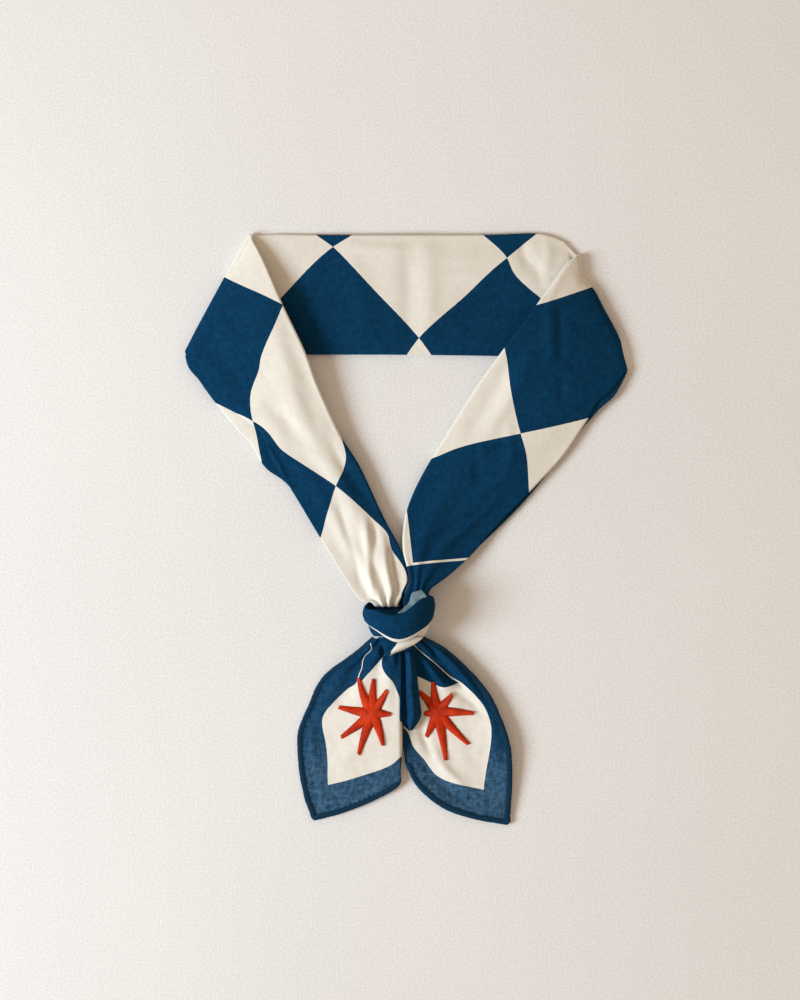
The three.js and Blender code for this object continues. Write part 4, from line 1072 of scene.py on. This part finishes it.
def tail_rows(side):
    table = LEFT_TAIL if side < 0 else RIGHT_TAIL
    steps = range((len(table) - 1) * TAIL_STEPS + 1)
    return [between_rows(table, step / TAIL_STEPS) for step in steps]


def first_hem_row(side):
    """The row where the hem begins to run along the lower edge."""
    return HEM_START[side] * TAIL_STEPS - HEM_LEAD


def hem_line(side):
    """The cut edge: down the outer side, round the tip and along the lower edge."""
    rows = tail_rows(side)
    outer = [tail_place(side, row[0], row[1], row[4]) for row in rows]
    lower = [tail_place(side, row[2], row[3], row[5]) for row in rows[first_hem_row(side):]]
    along, out, high = TAIL_TIPS[side]
    return np.array([*outer, tail_place(side, along, out, high), *lower[::-1]])


def inset_line(side, line, inset):
    """The line moved inwards in plan."""
    before = np.vstack([line[:1], line[:-1]])
    after = np.vstack([line[1:], line[-1:]])
    way = (after - before)[:, :2]
    way = way / np.linalg.norm(way, axis=1)[:, None]
    first, second = (line - before)[:, :2], (after - line)[:, :2]
    lengths = np.linalg.norm(first, axis=1) * np.linalg.norm(second, axis=1)
    turn = (first * second).sum(1) / np.maximum(lengths, 1e-12)
    stretch = np.where(turn == 0, 1, 1 / np.maximum(0.6, np.sqrt(np.clip((1 + turn) / 2, 0, 1))))
    moved = line.copy()
    moved[:, 0] += side * way[:, 1] * inset * stretch
    moved[:, 1] -= side * way[:, 0] * inset * stretch
    return moved


def line_length(line):
    return float(np.linalg.norm(np.diff(line, axis=0), axis=1).sum())


print("left hem is", round(line_length(hem_line(-1)), 3), "long")

# %% [markdown]
# A tail is one layer of cotton that hangs over the table. A cloth simulation could lay it down, but
# its folds have known places. So it is a grid from its hem to its inner side, where the cloth rolls
# under. Gathers fan out from the knot and die away, and creases from the photograph are added on
# top.

# %% The cloth of a tail
TAIL_CREASES = {
    -1: [
        (4.0, -0.0012, [(383, 645), (386, 656), (392, 664)]),
        (6.0, 0.0010, [(370, 648), (384, 658), (395, 662)]),
        (5.0, -0.0008, [(396, 668), (398, 690), (400, 716)]),
        (7.0, 0.0006, [(345, 668), (335, 690), (322, 712)]),
        (8.0, -0.0006, [(372, 660), (356, 678), (345, 700)]),
        (5.0, 0.0005, [(308, 718), (312, 740), (314, 768)]),
        (9.0, 0.0005, [(340, 760), (362, 745), (388, 738)]),
    ],
    1: [
        (5.0, 0.0016, [(414, 648), (430, 668), (444, 686), (456, 686)]),
        (4.0, -0.0014, [(411, 644), (429, 659), (448, 676), (462, 684)]),
        (6.0, 0.0010, [(440, 650), (462, 672), (484, 700)]),
        (5.0, -0.0007, [(452, 690), (470, 700), (484, 716)]),
        (5.0, -0.0008, [(419, 716), (424, 738), (432, 754)]),
        (6.0, 0.0008, [(430, 744), (444, 768), (466, 790)]),
        (6.0, -0.0007, [(420, 760), (444, 788), (476, 808)]),
        (7.0, 0.0005, [(492, 712), (497, 740), (498, 770)]),
    ],
}
# height, length and width in pixels, seed
TAIL_RUMPLES = [(0.0004, 28, 30, 11), (0.00018, 9, 12, 15)]
SIDE_COLUMNS, HEM_COVER = 6, 0.55


def tail_line(row, outer, inner):
    """Points across a tail, how far each lies past the side that shows, and the way across."""
    crown, ripple, roll = row[6:9]
    radius = max(roll * ROLL_RADIUS, LEAST_ROLL)
    way = (inner - outer) * [1, 1, 0]
    width = np.linalg.norm(way)
    way = way / width
    flat = width - radius - TAIL_WALL / 2
    share = np.linspace(0, 1, TAIL_COLUMNS)
    rise = crown * KNOT_MIDDLE * 4 * share * (1 - share)
    rise += ripple * TAIL_RIPPLE * np.sin(share * 5 * np.pi) * np.minimum(1, 4 * share)
    turn = np.linspace(np.pi / 2, -np.pi / 2, ROLL_POINTS + 2)[1:-1]
    tuck = np.linspace(0, max(roll * ROLL_TUCK, TAIL_WALL), TUCK_POINTS)
    across = np.concatenate([share * flat, flat + radius * np.cos(turn), flat - tuck])
    rolled = rise[-1] - radius + radius * np.sin(turn)
    high = np.concatenate([rise, rolled, rise[-1] - 2 * radius + 0 * tuck])
    turned = flat + radius * (np.pi / 2 - turn)
    run = np.concatenate([share * flat, turned, flat + radius * np.pi + tuck])
    points = outer + np.outer(across, way)
    points[:, 2] = outer[2] + (inner[2] - outer[2]) * np.clip(across / width, 0, 1) + high
    beyond = np.maximum(run - flat - radius * np.pi / 2, 0)
    return points, beyond, way


def tail_grid(side):
    """The points of a tail, and the pixel where the print is read for each."""
    rows = tail_rows(side)
    edge = inset_line(side, hem_line(side), HEM_WIDTH * HEM_COVER)
    last = len(rows) - 1
    start = first_hem_row(side)
    lines = []
    for step, row in enumerate(rows):
        inner = tail_place(side, row[2], row[3], row[5])
        if step >= start:
            blend = ease(min((step - start) / HEM_LEAD, 1))
            inner = inner * (1 - blend) + edge[2 * last + 2 - step] * blend
        lines.append(tail_line(row, edge[step], inner))
    grid = np.stack([line[0] for line in lines])
    pixels = in_pixels(grid)
    flat = pixels[:, :TAIL_COLUMNS].reshape(-1, 2)
    raised = creases(flat, TAIL_CREASES[side])
    for height, length, width, seed in TAIL_RUMPLES:
        raised += height * rumple(flat[:, 0], flat[:, 1], length, width, seed + side)
    column = np.arange(TAIL_COLUMNS)
    fade = np.clip(np.minimum(column, column[::-1]) / SIDE_COLUMNS, 0, 1)
    grid[:, :TAIL_COLUMNS, 2] += raised.reshape(len(rows), -1) * fade
    for step, (points, beyond, way) in enumerate(lines):
        pixels[step] += np.outer(beyond, pixel_step(way))
    tip = edge[last + 1]
    for share in (0.5, 0.97):
        grid = np.concatenate([grid, [grid[last] * (1 - share) + tip * share]])
        pixels = np.concatenate([pixels, [pixels[last] * (1 - share) + in_pixels(tip[None]) * share]])
    return grid, pixels


print("points across a tail", TAIL_COLUMNS + ROLL_POINTS + TUCK_POINTS)

# %% [markdown]
# The tails show two corners of the square, with the last check, the thin line and the border. Their
# print is bent through places of the photograph, as on the band. Only one layer lies there, and the
# bright table shines through it. Light could really pass through the cloth, but that makes grainy
# pictures, so the third number of "fabric" says where a paler, mottled navy is painted in place of
# that light.

# %% The tails and their print
# pixel row where the painted light through a single layer starts, and how much paler it paints the navy
LIT_THROUGH_FROM = {-1: (660, 0.5), 1: (700, 0.3)}
LIT_THROUGH_BLEND, TIP_FROM, TIP_BLEND, TIP_LIT_THROUGH = 80, 742, 30, 1.1
TAIL_PRINTS = {
    -1: bend_print([
        (-5, 4, 330, 782), (-4.84, 4, 330, 762), (-4.65, 4, 327.6, 739), (-4.48, 4, 325, 718),
        (-4.25, 4, 338.7, 700), (-4.07, 4, 351, 689), (-4, 4, 358, 683), (-3.9, 4, 362.5, 668),
        (-3.8, 4, 366, 655), (-3.68, 4, 369.5, 639), (-5, 3.66, 370, 771), (-5, 3.47, 392, 762),
        (-5, 3.38, 401, 754), (-4, 3.75, 367, 675), (-4, 3.4, 375, 666), (-4, 3, 382.7, 657),
        (-4.21, 3, 392, 681), (-4.39, 3, 400.4, 700), (-5.24, 4.24, 310, 816),
        (-3.83, 4.1, 352, 652), (-3.98, 4.1, 346, 672), (-4.2, 4.12, 331, 690), (-3.8, 3.8, 376, 652),
    ]),
    1: bend_print([
        (4, -5, 481.6, 787), (4, -4.47, 489, 726), (4, -4.28, 481.6, 706), (4, -4, 459, 683),
        (4, -3.87, 448, 676), (4, -3.67, 429, 659), (4, -3.48, 411.6, 644), (3.81, -5, 459, 782),
        (3.62, -5, 437, 773), (3.47, -5, 425.6, 758), (3.2, -5, 414.4, 745), (3.0, -5, 409, 731),
        (2.9, -5, 401, 724), (3.88, -4, 444, 687), (3.5, -4, 417, 676), (4.24, -5.24, 507, 820),
    ]),
}


def make_tail(side, name, node):
    grid, pixels = tail_grid(side)
    start, upper = LIT_THROUGH_FROM[side]
    lit_through = upper * np.clip((pixels[..., 1:] - start) / LIT_THROUGH_BLEND, 0, 1)
    lit_through += (TIP_LIT_THROUGH - upper) * np.clip((pixels[..., 1:] - TIP_FROM) / TIP_BLEND, 0, 1)
    fabric = np.concatenate([TAIL_PRINTS[side](pixels), lit_through], -1)
    piece = cloth_piece(name, grid, fabric, (20, TAIL_COLUMNS // 2))
    finish_piece(piece, "checked_cotton", node)
    print("area of", name, round(sheet_area(grid), 4))
    say_extent(name, grid)
    return piece, grid


left_tail, left_grid = make_tail(-1, "scarf_tail_left", "tail_left")
right_tail, right_grid = make_tail(1, "scarf_tail_right", "tail_right")

# %% [markdown]
# The stars, the pleat and the stitches all lie on the tails, so they need to know how high the
# cloth is at any place. Blender could shrink-wrap them on it, but that would flatten their relief.
# A ray sent straight down on the grid gives the height, and each piece adds its own.

# %% The height of the cloth
RAY_START, DOWN = 0.1, Vector((0, 0, -1))


class Ground:
    """The upper side of one tail."""

    def __init__(self, grid):
        points = [tuple(point) for point in grid.reshape(-1, 3)]
        self.tree = BVHTree.FromPolygons(points, grid_faces(*grid.shape[:2]).tolist())

    def top(self, x, y, fallback=0.002):
        """The height at a place, or fallback beside the cloth."""
        hit = self.tree.ray_cast(Vector((x, y, RAY_START)), DOWN)[0]
        return fallback if hit is None else hit.z + CLOTH / 2


grounds = {-1: Ground(left_grid), 1: Ground(right_grid)}
print("cloth under the left star", round(grounds[-1].top(-0.0172, -0.0935), 4))

# %% [markdown]
# Beside the parting line a navy pleat laps over the right tail. It could be a fold in the tail's own
# grid, but then the tail would need many more rows. So it is a narrow strip that follows the cloth
# under it, with a valley and a ridge along it, a rounded fold at its free side and a slanting end.

# %% The pleat on the right tail
# place down the tail, and both sides of the pleat out from the parting line
PLEAT_ROWS = [(0.08, -0.034, 0.080), (0.18, -0.034, 0.105), (0.28, -0.034, 0.108), (0.35, -0.034, 0.122),
              (0.41, -0.034, 0.134), (0.455, -0.028, 0.116), (0.505, 0.044, 0.070)]
PLEAT_STEPS, PLEAT_COLUMNS = 60, 30
# the last number is a little painted light through the pleat's single layer
PLEAT_LIFT, PLEAT_DROP, PLEAT_LIT_THROUGH = 0.0007, 0.0005, 0.05
# height, place and width across the pleat
RIDGE, VALLEY = (0.0040, 0.74, 0.26), (-0.0024, 0.34, 0.18)
PLEAT_END, END_SLOPE = 0.52, 0.14
EDGE_POINTS, EDGE_FLATNESS, LEAST_EDGE, MOST_EDGE = 9, 0.7, 0.0003, 0.0022


def swelling(share, form):
    high, place, width = form
    return high * np.exp(-((share - place) / width) ** 2)


def pleat_line(place):
    along, side, out = between_rows(PLEAT_ROWS, place)
    start, end = tail_place(1, along, side, 0), tail_place(1, along, out, 0)
    level = KNOT_MIDDLE * np.interp(along, [row[2] for row in LEFT_TAIL], [row[5] for row in LEFT_TAIL])
    sink = np.clip((PLEAT_END - along) / END_SLOPE, 0, 1) ** 0.6
    points = []
    for share in np.linspace(0, 1, PLEAT_COLUMNS):
        x, y = (start + (end - start) * share)[:2]
        low = max(ground.top(x, y, 0.0) for ground in grounds.values()) + PLEAT_LIFT
        high = level - PLEAT_DROP + swelling(share, RIDGE) + swelling(share, VALLEY)
        points.append([x, y, low + max(high - low, 0) * sink])
    edge = points[-1][2]
    room = edge - grounds[1].top(end[0], end[1], 0.004)
    radius = np.clip(room / 2 - 0.0002, LEAST_EDGE, MOST_EDGE)
    for angle in np.linspace(0, np.pi, EDGE_POINTS)[1:]:
        x = end[0] + EDGE_FLATNESS * radius * np.sin(angle)
        points.append([x, end[1], edge - radius * (1 - np.cos(angle))])
    return np.array(points)


pleat_grid = np.stack([pleat_line(place) for place in along_rows(PLEAT_ROWS, PLEAT_STEPS)])
scarf_pleat = cloth_piece("scarf_pleat", pleat_grid, navy_fabric(pleat_grid, PLEAT_LIT_THROUGH), (20, 5))
finish_piece(scarf_pleat, "navy_cotton", "pleat_right")
say_extent("pleat", pleat_grid)

# %% [markdown]
# The hems are the same cotton, navy like the border, and show more of their weave because they are
# tightly rolled. Thread is smoother and has a soft shine. Painted lines could stand for thread, but
# real threads lie on the cloth here, so their material needs only a fine mottle of two tones. On the
# red thread the lighter tone is partly mottle and partly a painted highlight, like the glints of satin.

# %% Hem cotton and sewing thread
DARK_HEM, LIGHT_HEM = (0.0012, 0.018, 0.045, 1), (0.0035, 0.042, 0.092, 1)
DARK_SEWING, LIGHT_SEWING = (0.010, 0.045, 0.095, 1), (0.022, 0.075, 0.14, 1)
# the lighter red is partly mottle and partly a painted highlight for the glints of satin
DARK_RED, LIGHT_RED_AND_GLINT = (0.28, 0.005, 0.002, 1), (0.78, 0.060, 0.006, 1)


def hem_cotton():
    material, tree, shader = new_material("hem_cotton")
    threads = weave(tree, place_on_piece(tree))
    colour = mix_colour(tree, threads, DARK_HEM, LIGHT_HEM)
    set_surface(tree, shader, colour, threads, depth=0.00018, strength=0.7, roughness=0.9, shine=0.18)
    return material


def thread_material(name, dark, light, shine):
    """Spun thread, mottled in two tones, with a soft shine. On red thread the light tone also paints
    highlights.
    """
    material, tree, shader = new_material(name)
    place = place_on_piece(tree)
    fine = speckle(tree, place, 900.0, 3.0)
    broad = calc(tree, "MULTIPLY_ADD", speckle(tree, place, 160.0, 1.0), 1.2, -0.4)
    tone = clamp(tree, calc(tree, "MULTIPLY_ADD", fine, 0.6, broad))
    colour = mix_colour(tree, tone, dark, light)
    set_surface(tree, shader, colour, fine, depth=0.00006, strength=0.5, roughness=0.48, shine=shine)
    return material


hem_material = hem_cotton()
sewing_thread = thread_material("sewing_thread", DARK_SEWING, LIGHT_SEWING, 0.1)
red_thread = thread_material("red_thread", DARK_RED, LIGHT_RED_AND_GLINT, 0.16)
print("made", hem_material.name, sewing_thread.name, red_thread.name)

# %% [markdown]
# Round the tails the cut edge is rolled and sewn down. A curve with a round bevel would make the
# roll, but the real one is flatter and has slight lumps where each stitch pulls it in. So its rings
# are worked out along the edge.

# %% The roll of the hems
HEM_ROUND, HEM_HEIGHT, HEM_PITCH, HEM_TAPER = 12, 0.0017, 0.0009, 0.004
STITCH_PITCH, STITCH_PULL = 0.0024, 0.09
HEM_LUMP, LUMP_LENGTH = 0.10, 0.006


def even_line(line, pitch):
    """The same line with points at even distances."""
    run = np.concatenate([[0], np.cumsum(np.linalg.norm(np.diff(line, axis=0), axis=1))])
    places = np.linspace(0, run[-1], int(run[-1] / pitch) + 1)
    return np.column_stack([np.interp(places, run, line[:, k]) for k in range(3)]), places


def sideways(line):
    """The level direction across a line, at each of its points."""
    way = np.gradient(line, axis=0)[:, :2]
    way = way / np.maximum(np.linalg.norm(way, axis=1)[:, None], 1e-9)
    return np.column_stack([-way[:, 1], way[:, 0], 0 * way[:, 0]])


def rolled_hem(side):
    """Rings of points round the hem, its middle line and the direction across it."""
    line, places = even_line(inset_line(side, hem_line(side), HEM_WIDTH / 2), HEM_PITCH)
    across = sideways(line)
    angle = np.linspace(0, 2 * np.pi, HEM_ROUND, endpoint=False)
    pull = 1 - STITCH_PULL * np.maximum(np.cos(2 * np.pi * places / STITCH_PITCH), 0) ** 4
    lumps = np.array([noise.noise(Vector((p / LUMP_LENGTH, 0.3, side))) for p in places])
    lump = 1 + HEM_LUMP * lumps
    end = np.sqrt(np.clip((places[-1] - places) / HEM_TAPER, 0.05, 1))
    line = line + side * across * (HEM_WIDTH / 2 * (1 - end))[:, None]
    wide, high = HEM_WIDTH / 2 * pull * lump * end, HEM_HEIGHT / 2 * pull * end
    ring = line[:, None] + across[:, None] * (wide[:, None] * np.cos(angle))[..., None]
    ring[..., 2] += high[:, None] * np.sign(np.sin(angle)) * np.abs(np.sin(angle)) ** 0.8
    return np.concatenate([ring, ring[:, :1]], 1), line, across


print("rings along the left hem", len(rolled_hem(-1)[1]))

# %% [markdown]
# Short threads hold the roll down, about three millimetres apart. Each stitch could be a curve with
# a bevel, but so many small objects would be slow and hard to keep in order. So one helper makes a
# single mesh of many thin tubes, and the stars use it too.

# %% Sewing the hems
STITCH_LENGTH, STITCH_FROM, STITCH_TO = 0.0017, 0.30, 0.62
THREAD_RADIUS, THREAD_SIDES, THREAD_END = 0.00016, 5, 0.55


def thread_faces(rings, sides, count):
    """Faces of several short tubes, one after the other."""
    tube = grid_faces(rings, sides + 1)
    tube = np.where(tube % (sides + 1) == sides, tube - sides, tube)
    tube = (tube // (sides + 1)) * sides + tube % (sides + 1)
    caps = [[0, *range(sides - 1, 0, -1)], [(rings - 1) * sides + k for k in range(sides)]]
    faces = []
    for copy in range(count):
        start = copy * rings * sides
        faces += (tube + start).tolist() + [[k + start for k in cap] for cap in caps]
    return faces


def threads_piece(name, paths, radius, material, sides=THREAD_SIDES):
    """One mesh of many threads. paths is (threads, points, 3)."""
    paths = np.asarray(paths)
    way = np.gradient(paths, axis=1)
    way = way / np.maximum(np.linalg.norm(way, axis=2, keepdims=True), 1e-12)
    side = np.cross(way, UP)
    side = side / np.maximum(np.linalg.norm(side, axis=2, keepdims=True), 1e-9)
    top = np.cross(side, way)
    angle = np.linspace(0, 2 * np.pi, sides, endpoint=False)
    thin = np.ones(paths.shape[1])
    thin[[0, -1]] = THREAD_END
    around = side[:, :, None] * np.cos(angle)[:, None] + top[:, :, None] * np.sin(angle)[:, None]
    points = paths[:, :, None] + around * radius * thin[:, None, None]
    faces = thread_faces(paths.shape[1], sides, len(paths))
    return mesh_piece(name, points.reshape(-1, 3), faces, [material])


def make_hem(side, name, node):
    rings, line, across = rolled_hem(side)
    hem = mesh_piece(name, rings.reshape(-1, 3), grid_faces(*rings.shape[:2]), [hem_material])
    finish_piece(hem, "hem_cotton", node)
    ground = grounds[side]
    inwards = -side * across
    paths = []
    every = round(STITCH_PITCH / HEM_PITCH)
    for k in range(every, len(line) - every, every):
        along = (line[k + 1] - line[k - 1]) / np.linalg.norm(line[k + 1] - line[k - 1])
        start = line[k] + inwards[k] * HEM_WIDTH * STITCH_FROM
        end = line[k] + inwards[k] * HEM_WIDTH * STITCH_TO + along * STITCH_LENGTH
        middle = (start + end) / 2
        start[2] += HEM_HEIGHT * 0.46
        middle[2] = max(middle[2] + HEM_HEIGHT * 0.40, ground.top(*middle[:2]))
        end[2] = ground.top(*end[:2], end[2])
        paths.append([start, middle, end])
    stitches = threads_piece(name + "_stitches", paths, THREAD_RADIUS, sewing_thread)
    finish_piece(stitches, "hem_cotton")
    print(name, "stitches", len(paths))
    return hem, stitches


left_hem, left_stitches = make_hem(-1, "scarf_hem_left", "hem_left")
right_hem, right_stitches = make_hem(1, "scarf_hem_right", "hem_right")

# %% [markdown]
# Each star is embroidered on a corner check, over a low padding that lifts the threads. The star
# could be dyed into the print, but a painted pattern looks flat. So every arm gets a soft ridge, wide
# at the middle of the star and narrow at its tip, bent a little as in the photograph.

# %% The padding of the stars
STAR_REACH, STAR_WIDTH, STAR_TIP_WIDTH, STAR_HEIGHT = 0.025, 0.0066, 0.0020, 0.0008
# place down the tail, place out from the parting line, and arms: direction in degrees, length, bend
STAR_ARMS = {
    -1: (0.414, 0.285, [(87, 0.70, 0.03), (57, 0.56, -0.12), (-3, 0.38, 0.04), (-71, 0.69, 0.14),
                        (-108, 0.88, -0.05), (-142, 0.80, 0.05), (170, 0.69, 0.04), (111, 0.76, 0.14)]),
    1: (0.409, 0.317, [(98, 0.62, 0.04), (50, 0.47, -0.05), (-2, 0.74, 0.05), (-46, 0.91, -0.06),
                       (-80, 1.0, 0.04), (-114, 0.56, 0.05), (187, 0.27, 0.0), (131, 0.56, -0.08)]),
}
ARM_LINES, ARM_ACROSS, ARM_START = 26, 9, -0.04


def arm_width(share):
    """How wide an arm is, from the middle of the star to its tip."""
    swell = 1 - 0.16 * np.cos(np.pi * np.clip(share / 0.35, 0, 1))
    return (STAR_WIDTH * (1 - share) + STAR_TIP_WIDTH * share) * (0.86 + 0.16 * (swell - 0.84))


def arm_height(share, across):
    """The padding's height; across is from -1 to 1."""
    return STAR_HEIGHT * (0.62 + 0.18 * (1 - share)) * np.sqrt(np.clip(1 - across ** 2, 0, 1)) + 0.0002


def arm_frame(centre, degrees, reach, bend):
    """A function that gives the place on a bent arm, from metres forward and metres aside."""
    way = np.array([np.cos(np.radians(degrees)), np.sin(np.radians(degrees))])
    left = np.array([-way[1], way[0]])

    def at(forward, aside):
        return centre + way * forward + left * (aside + bend * forward * (1 - forward / reach))

    return at


def padding_points(at, reach, ground):
    """The soft ridge of one arm, in rows from the middle of the star to the tip."""
    points = []
    for share in np.linspace(ARM_START, 1, ARM_LINES):
        inside = max(share, 0)
        for across in np.linspace(-1, 1, ARM_ACROSS):
            place = at(share * reach, across * arm_width(inside) / 2)
            points.append([*place, ground.top(*place) + arm_height(inside, across)])
    return points


print("an arm is", round(float(arm_width(0.5)), 4), "wide half way along")

# %% [markdown]
# Satin stitch lays threads close together across every arm. A striped bump could imitate them, but
# real tubes catch the light one by one, as embroidery does. Each thread slants across the arm and is
# a little longer or shorter than the next, and a fixed seed makes them the same on every run.

# %% The satin threads
STITCH_SPACING, SATIN_RADIUS, SATIN_SLANT, SATIN_POINTS = 0.00034, 0.00021, 28, 6
SHORTER, LONGER, LOOSENESS = 0.02, 0.09, 0.00003


def satin_paths(at, reach, ground, rng):
    """The threads of one arm, laid slanting across it, each a little longer or shorter."""
    slant = np.tan(np.radians(SATIN_SLANT))
    paths = []
    for share in np.arange(0.01, 1, STITCH_SPACING / reach):
        half = arm_width(share) / 2 * (1 + rng.uniform(-SHORTER, LONGER))
        path = []
        for across in np.linspace(-1, 1, SATIN_POINTS):
            forward = share * reach + across * half * slant
            place = at(forward, across * half)
            height = ground.top(*place) + arm_height(np.clip(forward / reach, 0, 1), across)
            height += SATIN_RADIUS * (0.1 + 0.9 * (1 - across ** 2)) + rng.uniform(0, LOOSENESS)
            path.append([*place, height])
        paths.append(path)
    return paths


def make_star(side, name, node):
    along, out, arms = STAR_ARMS[side]
    centre = tail_place(side, along, out, 0)[:2]
    rng = np.random.default_rng(7 + side)
    points, faces, paths = [], [], []
    for degrees, length, bend in arms:
        reach = length * STAR_REACH
        at = arm_frame(centre, degrees, reach, bend)
        faces += (grid_faces(ARM_LINES, ARM_ACROSS) + len(points)).tolist()
        points += padding_points(at, reach, grounds[side])
        paths += satin_paths(at, reach, grounds[side], rng)
    padding = mesh_piece(name, points, faces, [red_thread])
    if padding.data.polygons[0].normal.z < 0:
        padding.data.flip_normals()
    finish_piece(padding, "red_thread", node)
    satin = threads_piece(name + "_satin", paths, SATIN_RADIUS, red_thread)
    finish_piece(satin, "red_thread")
    print(name, "threads", len(paths))
    return padding, satin


left_star, left_satin = make_star(-1, "scarf_star_left", "star_left")
right_star, right_satin = make_star(1, "scarf_star_right", "star_right")

# %% [markdown]
# The table is plain and pale. Its colour is not quite even and its surface has a fine grain, like
# heavy paper. A painted shade could darken its right side, but the light falls off across it by
# itself, so the material has only the grain. The table is far wider than the picture, so that it
# also fills a view from a low angle.

# %% The table
TABLE_HALF = 6.0
DARK_PAPER, LIGHT_PAPER = (0.60, 0.60, 0.60, 1), (0.99, 0.99, 0.99, 1)


def table_material():
    material, tree, shader = new_material("table_paper")
    place = place_on_piece(tree)
    grain = speckle(tree, place, 900.0, 4.0)
    clouds = calc(tree, "MULTIPLY", speckle(tree, place, 5.0, 2.0), 0.2)
    tone = calc(tree, "MULTIPLY_ADD", grain, 0.8, clouds)
    colour = mix_colour(tree, tone, DARK_PAPER, LIGHT_PAPER)
    set_surface(tree, shader, colour, grain, depth=0.0003, strength=0.35, roughness=0.95, shine=0.1)
    return material


table_corners = [(x * TABLE_HALF, y * TABLE_HALF, 0) for x, y in ((-1, -1), (1, -1), (1, 1), (-1, 1))]
table = mesh_piece("table", table_corners, [(0, 1, 2, 3)], [table_material()])
print("table", 2 * TABLE_HALF, "metres square")

# %% [markdown]
# The band was a strip as wide as its three walls and as long as the loop. The tails are corners of
# the square, so their flat area is less than the rectangle round them. Cloth doesn't stretch, so the
# area of each piece can be set against these flat sizes.

# %% The sizes of the cloth
print("cloth pieces made")
